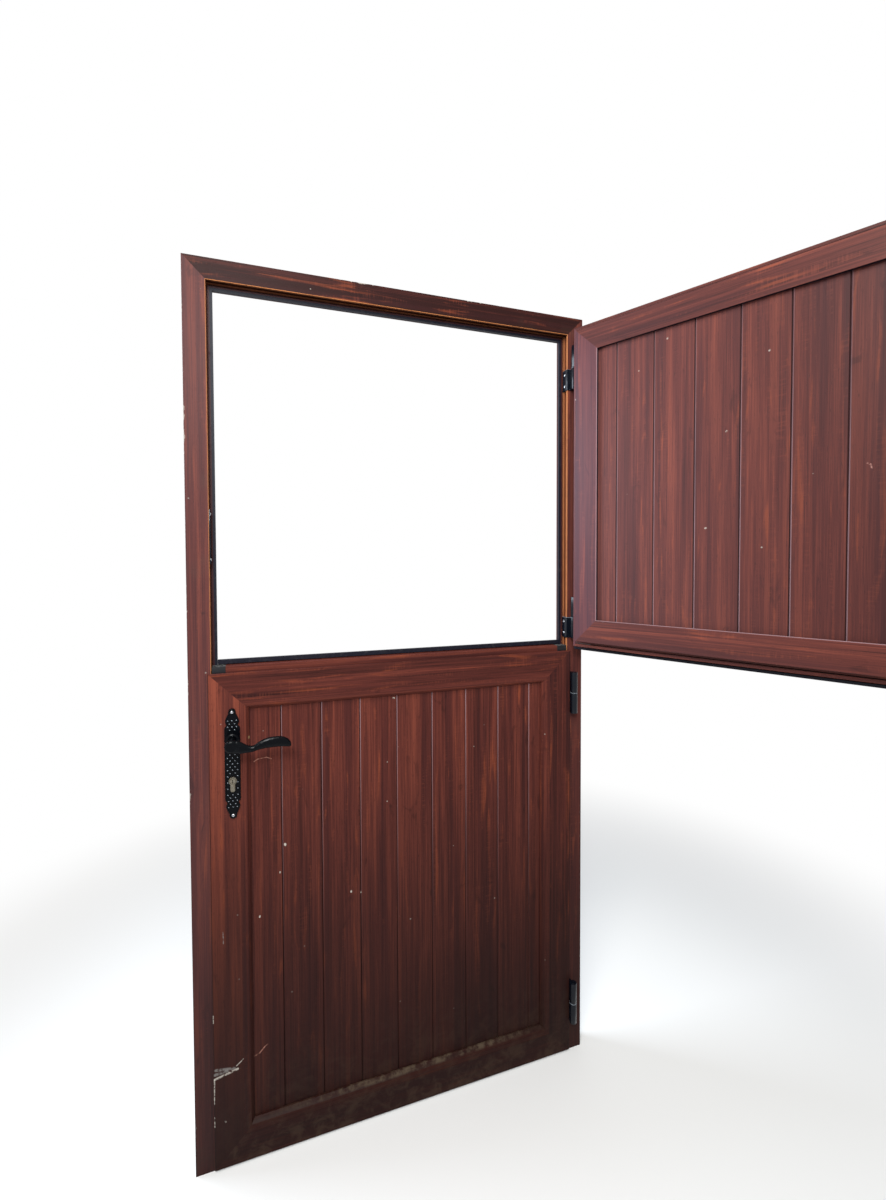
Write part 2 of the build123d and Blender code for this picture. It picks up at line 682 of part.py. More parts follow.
rail_start = ARRIS_LOCK + CAP_LONG
rail_end = ARRIS_HINGE - CAP_LONG
rail = along_x(rail_shape(0) - rail_shape(WALL), rail_start, rail_end)
neck = rect(GROOVE_Y - 5.2, GROOVE_Y + 5.2, top_edge - GROOVE_LIP - 0.2, top_edge)
neck += rect(
    GROOVE_Y - 7, GROOVE_Y + 7, top_edge - GROOVE_DEPTH + 0.4, top_edge - GROOVE_LIP - 0.2
)
rail += along_x(neck, rail_start + 60, rail_end - 60)
save("meeting_rail", rail)

seal_front = BODY_DEPTH - PROUD + GASKET_GAP
seal = rect(seal_front, FLANGE_BACK, LEDGE + 2, LEDGE + GASKET_REACH)
seal += rect(FLANGE_BACK, FLANGE_BACK + 4, LEDGE + FLANGE, LEDGE + GASKET_REACH)
cap_back = (ARRIS_LOCK + CAP_BACK_START, ARRIS_HINGE - CAP_BACK_START)
save("meeting_rail_gasket", along_x(seal, *cap_back))

front_part = rect(0, BODY_DEPTH - PROUD, top_edge, LEDGE)
plug_shape = rail_shape(WALL + SPIGOT_GAP) - rail_shape(WALL + SPIGOT_GAP + 3)
caps = []
for end, way in ((ARRIS_LOCK, 1), (ARRIS_HINGE, -1)):
    start = end + way * CAP_GAP
    back = end + way * CAP_BACK_START
    stop = end + way * CAP_LONG
    inner = stop + way * SPIGOT
    cap = along_x(front_part, min(start, stop), max(start, stop))
    cap += along_x(rail_shape(0), min(back, stop), max(back, stop))
    caps.append(cap + along_x(plug_shape, min(stop, inner), max(stop, inner)))
save("meeting_rail_caps", *caps)

save_leaf("lower", lower, keep)

# Upper latch: case in the stile's groove, its bolt and the knob on the room side
knob_x = edge + KNOB_SET
stile = upper["bars"]["lock"]
half_case = UPPER_CASE / 2
stile -= block(
    floor - 1, floor + WALL + 1, groove_front, groove_back,
    UPPER_LATCH_Z - half_case - 0.5, UPPER_LATCH_Z + half_case + 0.5,
)
stile -= block(
    knob_x - 6, knob_x + 6, room - 1, room + WALL + 1, UPPER_LATCH_Z - 6, UPPER_LATCH_Z + 6
)
upper["bars"]["lock"] = stile
save_leaf("upper", upper, opened)

lip = edge + GROOVE_LIP
case = block(lip, floor, case_front, case_back, UPPER_LATCH_Z - 60, UPPER_LATCH_Z + 60)
case_end = edge + KNOB_SET + 9
case += block(
    floor, case_end, case_front, case_back, UPPER_LATCH_Z - half_case, UPPER_LATCH_Z + half_case
)
case -= block(
    floor + CASE_WALL, case_end - CASE_WALL, case_front + CASE_WALL, case_back - CASE_WALL,
    UPPER_LATCH_Z - half_case + CASE_WALL, UPPER_LATCH_Z + half_case - CASE_WALL,
)
half_high = UPPER_BOLT_HIGH / 2
slot_thick = BOLT_THICK / 2 + 0.1
case -= block(
    lip - 1, floor + CASE_WALL + 1, GROOVE_Y - slot_thick, GROOVE_Y + slot_thick,
    UPPER_LATCH_Z - half_high - 0.1, UPPER_LATCH_Z + half_high + 0.1,
)
case -= rod(
    (knob_x, case_front - 1, UPPER_LATCH_Z), (knob_x, case_back + 1, UPPER_LATCH_Z),
    KNOB_RADIUS + RUNNING,
)
save("upper_latch_case", opened(case))
bolt = block(
    edge + 0.3, knob_x - KNOB_RADIUS - 1.5, GROOVE_Y - half_bolt, GROOVE_Y + half_bolt,
    UPPER_LATCH_Z - half_high, UPPER_LATCH_Z + half_high,
)
save("upper_bolt", opened(bolt))
clipped = make_face(Polyline(
    (-15, -24), (-7, -32), (7, -32), (15, -24), (15, 24), (7, 32), (-7, 32), (-15, 24), close=True
))
base = along_y(clipped - Circle(KNOB_RADIUS + RUNNING), knob_x, UPPER_LATCH_Z, room - 6, room)
save("upper_knob_base", opened(base))
knob = rod((knob_x, room - 12, UPPER_LATCH_Z), (knob_x, case_back, UPPER_LATCH_Z), KNOB_RADIUS)
bar = make_face(Polyline(
    (-6.5, -18), (-3, -22), (3, -22), (6.5, -18), (6.5, 18), (3, 22), (-3, 22), (-6.5, 18), close=True
))
grip = along_y(bar, knob_x, UPPER_LATCH_Z, room - 26, room - 12)
save("upper_knob", opened(knob + grip))
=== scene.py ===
import json
import math

import bmesh
import bpy
from bpy.props import FloatProperty, FloatVectorProperty, PointerProperty
from mathutils import Matrix, Vector


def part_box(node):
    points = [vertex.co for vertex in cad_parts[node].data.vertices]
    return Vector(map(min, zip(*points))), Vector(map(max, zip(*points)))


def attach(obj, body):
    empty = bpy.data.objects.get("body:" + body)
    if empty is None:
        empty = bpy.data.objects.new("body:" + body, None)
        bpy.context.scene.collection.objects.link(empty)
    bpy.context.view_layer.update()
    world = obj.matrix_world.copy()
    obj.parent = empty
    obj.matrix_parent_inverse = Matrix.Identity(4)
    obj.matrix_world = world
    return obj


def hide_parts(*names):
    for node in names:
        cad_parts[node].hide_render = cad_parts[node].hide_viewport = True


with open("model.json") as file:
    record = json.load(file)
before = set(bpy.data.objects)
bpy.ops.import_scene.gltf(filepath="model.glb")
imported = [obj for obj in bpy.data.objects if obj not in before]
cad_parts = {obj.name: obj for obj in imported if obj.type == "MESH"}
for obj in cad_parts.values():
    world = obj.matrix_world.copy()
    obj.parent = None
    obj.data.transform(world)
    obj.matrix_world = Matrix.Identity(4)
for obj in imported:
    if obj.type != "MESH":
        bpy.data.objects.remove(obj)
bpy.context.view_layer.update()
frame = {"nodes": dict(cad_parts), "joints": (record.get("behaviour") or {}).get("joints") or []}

bl_info = {
    "name": "Dutch stable door",
    "version": (1, 0, 0),
    "blender": (4, 5, 0),
    "location": "View3D > Sidebar > Stable door",
    "description": "Finishes and small fittings of a two-leaf stable door in its frame",
    "category": "Object",
}

JOINTS = {joint["name"]: joint for joint in frame["joints"]}
MM = 0.001

# Sizes and places that the solids have, in metres
BAR = 0.048
LEAF_GAP = 0.007
LEAF_ROOM = -0.008
LEAF_OUT = 0.040
GROOVE_Y = 0.011
OUTSIDE_LEG = 0.089
UPPER_RAIL_LIP = 1.241
SLAT_PITCH = 0.093
LOWER_SEAM = -0.8136
UPPER_SEAM = -0.8305
KEEPERS = ("keeper_lower", "keeper_upper")
HINGE_MIDDLES = (0.147, 1.028, 1.2375, 1.9215)
HINGE_HALF = 0.057
PLUG_RADIUS = 0.0065
KNOB_X = -0.929
KNOB_Z = 1.451
SIDES = (("room", LEAF_ROOM, -1), ("outside", LEAF_OUT, 1))

# Y of a face that marks lie on, and of where they have faded into the depth
LEG_FACE = (-0.0065, -0.004)
BEAD_FACE = (0.006, 0.009)
SLAT_FACE = (0.0095, 0.0115)
UPPER_SLAT_FACE = (0.0285, 0.0255)

# Places that the frame gives
HINGE = Vector(JOINTS["upper_leaf_swing"]["pos_m"])
OPEN = math.radians(-JOINTS["upper_leaf_swing"]["range_deg"][0])
OPENED = Matrix.Translation(HINGE) @ Matrix.Rotation(OPEN, 4, "Z") @ Matrix.Translation(-HINGE)
FRAME_FOOT, FRAME_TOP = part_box("frame_head")
FRAME_WIDE = FRAME_TOP.x - FRAME_FOOT.x
FRAME_HIGH = FRAME_TOP.z
ARRIS_LOCK = BAR - FRAME_WIDE
ARRIS_HINGE = -BAR
LEAF_LOCK = ARRIS_LOCK - LEAF_GAP
LEAF_HINGE = ARRIS_HINGE + LEAF_GAP
PLATE_LOW, PLATE_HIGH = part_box("handle_plate_room")
LOCK_X = (PLATE_LOW.x + PLATE_HIGH.x) / 2
LOCK_MIDDLE = (PLATE_LOW.z + PLATE_HIGH.z) / 2
SPINDLE_LOW, SPINDLE_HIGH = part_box("spindle")
SPINDLE_Z = (SPINDLE_LOW.z + SPINDLE_HIGH.z) / 2
PLUG_LOW, PLUG_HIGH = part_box("cylinder_plug")
CYLINDER_Z = (PLUG_LOW.z + PLUG_HIGH.z) / 2

# The photograph's camera: three values in its pixels, the place in metres and three angles in degrees
FOCAL = 531.1
PICTURE_HIGH = 1200
MIDDLE_ROW = 575.2
EYE = (-0.8536, -1.2874, 1.3953)
YAW = 18.914
PITCH = 1.539
ROLL = 0.208

WHITE = (1, 1, 1, 1)


# Settings

def colour(name, description, value):
    """A colour that a user can change."""
    return FloatVectorProperty(
        name=name, description=description, default=(*value, 1.0), size=4,
        subtype="COLOR", min=0.0, max=1.0,
    )


def share(name, description, value, top=1.0):
    """A plain number that a user can change."""
    return FloatProperty(name=name, description=description, default=value, min=0.0, max=top)


def length(name, description, value):
    """A size that a user can change, in metres."""
    return FloatProperty(
        name=name, description=description, default=value, min=0.0,
        subtype="DISTANCE", unit="LENGTH", precision=4,
    )


class StableDoorFilm(bpy.types.PropertyGroup):
    """Colours of the wood-effect film, what has gathered on it and its painted shade."""

    light: colour("Light grain", "Lightest streaks of the film", (0.190, 0.048, 0.029))
    middle: colour("Middle grain", "Main colour of the film", (0.082, 0.0208, 0.0160))
    dark: colour("Dark grain", "Darkest veins of the film", (0.021, 0.0074, 0.0068))
    ember: colour("Ember grain", "Orange flames in the figure", (0.27, 0.062, 0.024))
    umber: colour("Umber grain", "Cool brown bands of the figure", (0.040, 0.0120, 0.0125))
    lips: colour("Groove lips", "Bare ochre lips of the hardware groove", (0.50, 0.19, 0.065))
    groove: colour("Groove", "Coated metal inside the frame's rebate", (0.17, 0.050, 0.020))
    plaster: colour("Plaster", "Dried plaster and splashes", (0.50, 0.46, 0.40))
    # painted shade: the colour that the film darkens to towards the floor
    painted_shade: colour("Damp", "Film darkened by damp towards the floor", (0.010, 0.0044, 0.0040))
    dust: colour("Dust", "Dry dirt near the floor", (0.075, 0.050, 0.032))
    gloss: share("Roughness", "Roughness of clean film", 0.42)


class StableDoorFittings(bpy.types.PropertyGroup):
    """Sizes of the small fittings."""

    stud: length("Stud radius", "Radius of the domed studs on the handle plates", 0.0021)
    stud_step: length("Stud spacing", "Height between two rows of studs", 0.0070)
    screw: length("Screw head", "Radius of the handle plates' screw heads", 0.0037)
    edge: length("Edge rounding", "Rounding of the edges of cast and pressed fittings", 0.0006)
    iron: colour("Iron", "Black coat of the handles", (0.0008, 0.0010, 0.0016))
    nickel: colour("Nickel", "Worn nickel of the cylinder", (0.19, 0.175, 0.14))
    bright: colour("Stud tops", "Rubbed tops of the studs", (0.21, 0.24, 0.27))


class StableDoorStage(bpy.types.PropertyGroup):
    """Floor, lamps and camera."""

    floor: colour("Floor", "Colour of the plain floor", (0.92, 0.92, 0.91))
    key: share("Key lamp", "Power of the large soft lamp on the room side", 86.0, 2000.0)
    sky: share("Doorway lamp", "Power of the cool soft lamp beside the opening", 42.0, 2000.0)
    glint: share("Glint lamp", "Power of the small lamp that gives the studs their glints", 32.0, 2000.0)
    fill: share("Surround", "Strength of the even light all round", 0.32, 10.0)


# Materials

class Signal:
    """A number inside a node tree; sums on it add Math nodes."""

    def __init__(self, nodes, socket):
        self.nodes = nodes
        self.socket = socket

    def __add__(self, other):
        return self.nodes.math("ADD", self, other)

    def __sub__(self, other):
        return self.nodes.math("SUBTRACT", self, other)

    def __rsub__(self, other):
        return self.nodes.math("SUBTRACT", other, self)

    def __mul__(self, other):
        return self.nodes.math("MULTIPLY", self, other)

    def __truediv__(self, other):
        return self.nodes.math("DIVIDE", self, other)

    def __pow__(self, other):
        return self.nodes.math("POWER", self, other)

    __radd__ = __add__
    __rmul__ = __mul__

    def floor(self):
        return self.nodes.math("FLOOR", self)

    def size(self):
        return self.nodes.math("ABSOLUTE", self)

    def least(self, other):
        return self.nodes.math("MINIMUM", self, other)

    def most(self, other):
        return self.nodes.math("MAXIMUM", self, other)

    def rise(self, low, high):
        """0 below low, 1 above high and a soft step between, or the other way round."""
        flip = low > high
        node = self.nodes.node(
            "ShaderNodeMapRange", {"interpolation_type": "SMOOTHSTEP"},
            {0: self, 1: min(low, high), 2: max(low, high), 3: float(flip), 4: float(not flip)},
        )
        return Signal(self.nodes, node.outputs[0])

    def band(self, low, high, soft):
        """1 between two values, with soft ends."""
        return self.rise(low - soft, low + soft) * self.rise(high + soft, high - soft)


class Nodes:
    """The node tree of a material or a world, built node by node."""

    def __init__(self, holder):
        holder.use_nodes = True
        self.tree = holder.node_tree
        self.tree.nodes.clear()

    def node(self, kind, settings=None, sockets=None):
        """One node: its settings first, then the values or links of its sockets."""
        node = self.tree.nodes.new(kind)
        for name, value in (settings or {}).items():
            if name == "stops":
                stops = node.color_ramp.elements
                while len(stops) < len(value):
                    stops.new(1.0)
                for stop, (at, shade) in zip(stops, value):
                    stop.position = at
                    stop.color = shade
            else:
                setattr(node, name, value)
        for name, value in (sockets or {}).items():
            value = getattr(value, "socket", value)
            if isinstance(value, bpy.types.NodeSocket):
                self.tree.links.new(value, node.inputs[name])
            else:
                node.inputs[name].default_value = value
        return node

    def math(self, operation, *values):
        """A Math node on numbers or signals."""
        node = self.node("ShaderNodeMath", {"operation": operation}, dict(enumerate(values)))
        return Signal(self, node.outputs[0])

    def seen(self):
        """1 where the camera looks straight, off metal or through glass."""
        path = self.node("ShaderNodeLightPath").outputs
        camera, mirror, glass = (
            Signal(self, path[f"Is {kind} Ray"]) for kind in ("Camera", "Glossy", "Transmission")
        )
        return camera.most(mirror).most(glass)


class Finish(Nodes):
    """A procedural material."""

    def __init__(self, name, place=None):
        self.material = bpy.data.materials.new(name)
        super().__init__(self.material)
        self.point = self.node("ShaderNodeTexCoord").outputs["Object"]
        if place is not None:
            spot, turn = place
            moved = {"Vector": self.point, "Location": spot, "Rotation": (0, 0, turn)}
            self.point = self.node("ShaderNodeMapping", {}, moved).outputs[0]
        split = self.node("ShaderNodeSeparateXYZ", {}, {0: self.point})
        self.x, self.y, self.z = (Signal(self, socket) for socket in split.outputs)

    def away(self, axis, place):
        """Distance from a plane across X or Z."""
        return (getattr(self, axis) - place).size()

    def vector(self, x, y, z):
        """A point put together from three numbers."""
        return self.node("ShaderNodeCombineXYZ", {}, {0: x, 1: y, 2: z}).outputs[0]

    def noise(self, scale, detail, rough=0.5, swirl=0.0, point=None):
        """Noise at the piece's own points, or at other ones; the scale is per metre."""
        sockets = {
            "Vector": point or self.point, "Scale": scale, "Detail": detail, "Roughness": rough,
            "Distortion": swirl,
        }
        return Signal(self, self.node("ShaderNodeTexNoise", {}, sockets).outputs[0])

    def cells(self, point, scale, feature="F1"):
        """Distance to the nearest of many scattered points, and that cell's own number."""
        node = self.node("ShaderNodeTexVoronoi", {"feature": feature}, {"Vector": point, "Scale": scale})
        own = self.node("ShaderNodeSeparateColor", {}, {0: node.outputs["Color"]})
        return Signal(self, node.outputs["Distance"]), Signal(self, own.outputs[0])

    def chance(self, value):
        """A settled random number for each whole value."""
        node = self.node("ShaderNodeTexWhiteNoise", {"noise_dimensions": "1D"}, {"W": value})
        return Signal(self, node.outputs[0])

    def ramp(self, value, *stops):
        """A colour that goes with a number, between stops of a value and a colour each."""
        return self.node("ShaderNodeValToRGB", {"stops": stops}, {0: value}).outputs[0]

    def mix(self, amount, first, second):
        """The first colour where the amount is 0 and the second where it is 1."""
        node = self.node("ShaderNodeMix", {"data_type": "RGBA"}, {0: amount, 6: first, 7: second})
        return node.outputs[2]

    def scratch(self, across, along, start, end, width):
        """1 near a straight line between two points of a plane, fading to its sides."""
        run = (end[0] - start[0], end[1] - start[1])
        reach = run[0] ** 2 + run[1] ** 2
        from_x = across - start[0]
        from_z = along - start[1]
        part = ((from_x * run[0] + from_z * run[1]) / reach).most(0.0).least(1.0)
        off_x = from_x - part * run[0]
        off_z = from_z - part * run[1]
        return (off_x * off_x + off_z * off_z).rise(width ** 2, (width * 0.3) ** 2)

    def close(self, shade, rough, height, bump, reach, metal=0.0, specular=0.5, glow=None):
        """Link what the nodes give to the shader and return the material."""
        relief = self.node("ShaderNodeBump", {}, {"Strength": bump, "Distance": reach, "Height": height})
        sockets = {
            "Base Color": shade, "Roughness": rough, "Metallic": metal, "Specular IOR Level": specular,
            "Normal": relief.outputs[0],
        }
        shader = self.node("ShaderNodeBsdfPrincipled", {}, sockets).outputs[0]
        if glow is not None:
            white = self.node("ShaderNodeEmission", {}, {0: WHITE, 1: 1.0}).outputs[0]
            shader = self.node("ShaderNodeMixShader", {}, {0: glow, 1: shader, 2: white}).outputs[0]
        self.node("ShaderNodeOutputMaterial", {}, {0: shader})
        return self.material


def closed_place():
    """The mapping that turns the open upper leaf's points back to the closed leaf's."""
    back = Matrix.Rotation(-OPEN, 3, "Z")
    flat = Vector((HINGE.x, HINGE.y, 0))
    return flat - back @ flat, -OPEN


class Film:
    """The wood-effect film of one bar or row of slats, laid along its length.

    The seed picks its part of the pattern, the tone makes it lighter or darker to paint the light and
    shade on each bar, and a seam is the X of one joint between slats.
    """

    def __init__(self, name, along, seed, upper=False, seam=None, tone=0.0):
        self.look = bpy.context.scene.stable_door_film
        self.paint = Finish(name, closed_place() if upper else None)
        self.along = along
        self.seed = seed
        self.shift = 0.0
        self.lit = -1.0 if upper else 1.0  # the side of a joint that catches the light
        self.shade(seam, tone)

    def grain(self, across, lengthwise, detail=3.0, swirl=0.0):
        """Noise drawn out along the bar; the two scales are per metre."""
        paint = self.paint
        wide, tall = (across, lengthwise) if self.along == "z" else (lengthwise, across)
        point = paint.vector(
            paint.x * wide + self.shift, paint.y * across + self.seed, paint.z * tall + self.shift
        )
        return paint.noise(1.0, detail, 0.55, swirl, point)

    def shade(self, seam, tone):
        """Base colour, roughness and height of clean film; slats meet at the seam and every pitch, with
        painted light at each joint.
        """
        paint = self.paint
        look = self.look
        if seam is not None:
            place = (paint.x - seam) / SLAT_PITCH
            slat = place.floor()
            self.shift = paint.chance(slat + self.seed) * 7.0
            tone = (paint.chance(slat + self.seed + 0.5) - 0.5) * 0.03 + tone
            side = (paint.x - seam - (place + 0.5).floor() * SLAT_PITCH) * self.lit
        bands = self.grain(34.0, 0.8, 2.0, 0.3)
        figure = self.grain(105.0, 2.0, 3.0, 0.4)
        streak = self.grain(430.0, 4.0, 3.0)
        fine = self.grain(1300.0, 16.0, 2.0)
        flame = self.grain(52.0, 5.0, 3.0, 1.1)
        knot = self.grain(30.0, 9.0, 3.0, 1.6)
        ripple = self.grain(20.0, 260.0, 2.0, 0.5)
        pores = self.grain(950.0, 60.0, 1.0).rise(0.34, 0.27)
        grain = bands * 0.27 + figure * 0.29 + streak * 0.27 + fine * 0.17 + tone
        self.base = paint.ramp(grain, (0.33, look.dark), (0.49, look.middle), (0.66, look.light))
        self.tint(bands.rise(0.47, 0.34) * 0.38, look.umber)
        self.tint(flame.rise(0.55, 0.72) * figure.rise(0.42, 0.58) * 0.42, look.ember)
        self.tint(knot.rise(0.62, 0.76) * 0.50, look.dark)
        self.tint(flame.rise(0.50, 0.66) * ripple.rise(0.48, 0.62) * 0.22, look.light)
        self.tint(pores * 0.5, look.dark)
        if seam is not None:
            fade = (paint.z.rise(0.35, 1.25) * 0.80 + 0.08) * streak.rise(0.22, 0.46)
            # the dark joint between slats, with painted shade over the vee face away from the light
            self.tint(side.band(-0.0018, 0.0001, 0.0003) * 0.9, (0.006, 0.003, 0.003, 1))
            # painted highlight on the vee face that catches the light, fading towards the floor and, on
            # the upper leaf, towards its top
            lip = 0.0020
            if self.lit < 0:
                lip = 0.0027
                fade = fade * (paint.z.rise(2.05, 1.40) * 0.6 + 0.3)
            self.tint(side.band(0.0004, lip, 0.0003) * fade, (0.29, 0.185, 0.20, 1))
        self.rough = look.gloss + (streak - 0.5) * 0.16 + pores * 0.12
        self.height = streak * 0.35 + fine * 0.35 - pores * 0.5

    def tint(self, mask, shade):
        """Another colour where the mask is 1."""
        self.base = self.paint.mix(mask, self.base, shade)

    def cover(self, mask, shade, rough, lift=0.0):
        """Something lying on the film."""
        self.tint(mask, shade)
        self.rough = self.rough + mask * (rough - self.look.gloss)
        if lift:
            self.height = self.height + mask * lift

    def specks(self, amount):
        """Small splashes of plaster scattered over the film."""
        paint = self.paint
        per_metre = 34.0
        radius = 0.0016 * per_metre
        away, own = paint.cells(paint.vector(paint.x, paint.y * 0.35, paint.z), per_metre)
        spots = away.rise(radius * 1.6, radius * 0.7)
        chosen = own.rise(1 - amount, 1 - amount + 0.02)
        self.cover(spots * chosen * 0.55, self.look.plaster, 0.8)

    def dust(self, top, amount):
        """Dry dirt that thins out upward from the floor."""
        paint = self.paint
        cloud = paint.noise(26.0, 5.0, 0.7, 0.6)
        mask = paint.z.rise(top, 0.0) * cloud.rise(0.42, 0.66) * amount
        self.cover(mask, self.look.dust, 0.85)

    def darken(self, top, amount):
        """Painted shade that darkens the film towards the floor."""
        paint = self.paint
        cloud = paint.noise(3.0, 2.0) - 0.5
        low_shade = (paint.z + cloud * 0.2).rise(top, 0.0)
        self.tint(low_shade * amount, self.look.painted_shade)

    def edge(self, x):
        """Painted shade along the outer edge of a wing, where it meets the frame."""
        line = self.paint.away("x", x).rise(0.0022, 0.0008)
        self.tint(line * 0.75, (0.008, 0.004, 0.004, 1))

    def arris(self, axis, place):
        """A painted highlight along the inner arris of the outside leg."""
        line = self.paint.away(axis, place).rise(0.0020, 0.0008) * self.paint.y.rise(0.0370, 0.0376)
        self.tint(line * 0.65, (0.30, 0.19, 0.20, 1))

    def painted_light(self, shade, amount, fade=None):
        """Painted light over the film, sheen in a pale colour and shade in a dark one, fading out
        between two places along X.
        """
        if fade is not None:
            amount = self.paint.x.rise(*fade) * amount
        self.tint(amount, shade)

    def marks(self, *lines, shade=None, amount=0.8, face=LEG_FACE):
        """Scratches and smears, each from one point of a face to another."""
        paint = self.paint
        ragged = paint.noise(160.0, 3.0, 0.7)
        front = paint.y.rise(face[1], face[0])
        for start, end, width in lines:
            mask = paint.scratch(paint.x, paint.z, start, end, width) * ragged.rise(0.38, 0.52)
            self.cover(mask * front * amount, shade or self.look.plaster, 0.85, 0.2)

    def done(self, specular=0.05):
        """The finished material."""
        return self.paint.close(self.base, self.rough, self.height, 0.16, 0.0006, specular=specular)


def frame_film(name, along, face, outer, tone=0.0, glow=1.0, painted_sheen=0.2):
    """Film of one frame bar: ochre lines along its rebate, plaster on its wall edge, painted sheen and
    painted shade.
    """
    film = Film(name, along, face[1] * 3.1, tone=tone)
    paint = film.paint
    look = film.look
    away = paint.away(*face)
    sunk = away.rise(0.0110, 0.0095)
    inside = paint.y.rise(0.0012, 0.0024) * paint.y.rise(0.0262, 0.0250)
    film.tint(inside * sunk * 0.80 * glow, look.groove)
    worn = paint.noise(30.0, 3.0, 0.6).rise(0.30, 0.50) * 0.4 + 0.6
    corner = paint.y.rise(0.0016, 0.0007) * away.rise(0.0016, 0.0007)
    film.tint(corner * worn * 0.95, look.lips)
    edge = away.rise(0.0026, 0.0012)
    # the groove's bare lips, each from one Y to another
    for low, high in ((0.0036, 0.0056), (0.0166, 0.0184), (0.0225, 0.0238)):
        line = paint.y.band(low, high, 0.0003) * edge
        film.tint(line * worn * 0.9 * glow, look.lips)
    ragged = paint.noise(55.0, 4.0, 0.7)
    patchy = paint.noise(5.0, 3.0, 0.6)
    reach = paint.away(*outer) + (ragged - 0.5) * 0.020 + (patchy - 0.35).most(0.0) * 0.030
    film.cover(reach.rise(0.0024, 0.0010) * 0.55, look.plaster, 0.9, 0.6)
    grime = paint.noise(9.0, 3.0)
    film.tint(grime.rise(0.55, 0.80) * 0.25, look.dust)
    film.specks(0.10)
    film.dust(0.30, 0.35)
    # a cool painted sheen over the bar
    film.painted_light((0.072, 0.060, 0.072, 1), painted_sheen)
    # painted shade towards the floor
    film.darken(1.10, 0.72)
    return film.done()


def leaf_film(name, along, seed, upper=False, seam=None, edge=None, tone=0.0):
    """Film of one bar or row of slats of a leaf, with what has gathered on it and, on the lower leaf,
    painted shade towards the floor.
    """
    film = Film(name, along, seed, upper, seam, tone)
    film.specks(0.10 if seam is None else 0.07)
    if edge is not None:
        film.edge(edge)
    if not upper:
        film.darken(1.12, 0.90)
        film.dust(0.30, 0.16)
    return film


def rubber(name="black_gasket_rubber", rough=0.40, foot=False):
    """Black gasket rubber, dusty and ribbed; the stop gasket's foot is brown like the frame."""
    paint = Finish(name)
    ribs = paint.noise(420.0, 2.0, 0.6)
    dust = paint.noise(60.0, 4.0, 0.7).rise(0.52, 0.80)
    # the bluish cast of the black is a painted cool reflection
    shade = paint.ramp(ribs, (0.3, (0.004, 0.004, 0.008, 1)), (0.8, (0.011, 0.011, 0.021, 1)))
    shade = paint.mix(dust * 0.10, shade, (0.20, 0.19, 0.175, 1))
    if foot:
        across = paint.away("x", (ARRIS_LOCK + ARRIS_HINGE) / 2)
        reach = ((ARRIS_HINGE - ARRIS_LOCK) / 2 - across).least(FRAME_HIGH - BAR - paint.z)
        umber = bpy.context.scene.stable_door_film.umber
        shade = paint.mix(reach.rise(0.0066, 0.0056) * 0.9, shade, umber)
    return paint.close(shade, ribs * 0.2 + rough + dust * 0.25, ribs, 0.25, 0.0004, specular=0.15)


def plastic():
    """Moulded black plastic with a fine matt grain and dust on what faces up."""
    paint = Finish("black_moulded_plastic")
    grain = paint.noise(1500.0, 2.0, 0.6)
    cloud = paint.noise(120.0, 3.0, 0.65)
    normal = paint.node("ShaderNodeNewGeometry").outputs["Normal"]
    up = Signal(paint, paint.node("ShaderNodeSeparateXYZ", {}, {0: normal}).outputs[2])
    dust = up.rise(0.55, 0.95) * cloud.rise(0.40, 0.64)
    shade = paint.ramp(grain, (0.3, (0.005, 0.005, 0.006, 1)), (0.7, (0.012, 0.012, 0.014, 1)))
    shade = paint.mix(dust * 0.28, shade, (0.42, 0.42, 0.41, 1))
    return paint.close(
        shade, grain * 0.15 + 0.38 + dust * 0.35, grain + dust * 0.6, 0.25, 0.0003, specular=0.2
    )


def black_coat():
    """Satin black powder coat of the hinges, with pale rubs and a painted highlight at each knuckle
    joint.
    """
    paint = Finish("black_hinge_coat")
    peel = paint.noise(900.0, 2.0, 0.5)
    rub = paint.noise(210.0, 4.0, 0.7).rise(0.60, 0.78)
    shade = paint.ramp(peel, (0.3, (0.001, 0.002, 0.004, 1)), (0.7, (0.004, 0.006, 0.011, 1)))
    shade = paint.mix(rub * 0.2, shade, (0.05, 0.065, 0.08, 1))
    # a pale blue-grey line at each knuckle joint is a painted highlight
    for middle in HINGE_MIDDLES:
        joint = paint.away("z", middle).rise(0.0014, 0.0006)
        shade = paint.mix(joint * 0.6, shade, (0.30, 0.34, 0.38, 1))
    return paint.close(shade, peel * 0.10 + 0.16 + rub * 0.2, peel, 0.12, 0.0003, specular=0.2)


def iron():
    """Black enamelled iron of the handles: hammered, glossy on top, greyed by handling."""
    paint = Finish("black_enamelled_iron")
    look = bpy.context.scene.stable_door_fittings
    dents = paint.cells(paint.point, 300.0, "SMOOTH_F1")[0]
    fine = paint.noise(1400.0, 2.0, 0.6)
    worn = paint.noise(130.0, 4.0, 0.7).rise(0.58, 0.76)
    fleck = paint.noise(420.0, 2.0, 0.7).rise(0.68, 0.76)
    shade = paint.mix(fine * 0.5, look.iron, (0.003, 0.004, 0.006, 1))
    shade = paint.mix(worn * 0.08, shade, (0.04, 0.045, 0.055, 1))
    shade = paint.mix(fleck * 0.16, shade, (0.16, 0.18, 0.21, 1))
    height = dents * 0.5 + fine * 0.10
    return paint.close(shade, fine * 0.08 + 0.17 + worn * 0.12, height, 0.09, 0.0004, specular=0.08)


def stud_tops():
    """Iron rubbed bright on the tops of the studs."""
    paint = Finish("rubbed_stud_tops")
    look = bpy.context.scene.stable_door_fittings
    fine = paint.noise(1600.0, 2.0, 0.6)
    tarnish = paint.noise(95.0, 3.0, 0.7).rise(0.40, 0.66)
    shade = paint.mix(tarnish * 0.75, look.bright, (0.10, 0.115, 0.14, 1))
    shade = paint.mix(fine * 0.4, shade, (0.12, 0.13, 0.15, 1))
    return paint.close(shade, fine * 0.2 + 0.3, fine, 0.15, 0.0003, metal=0.6 - tarnish * 0.4)


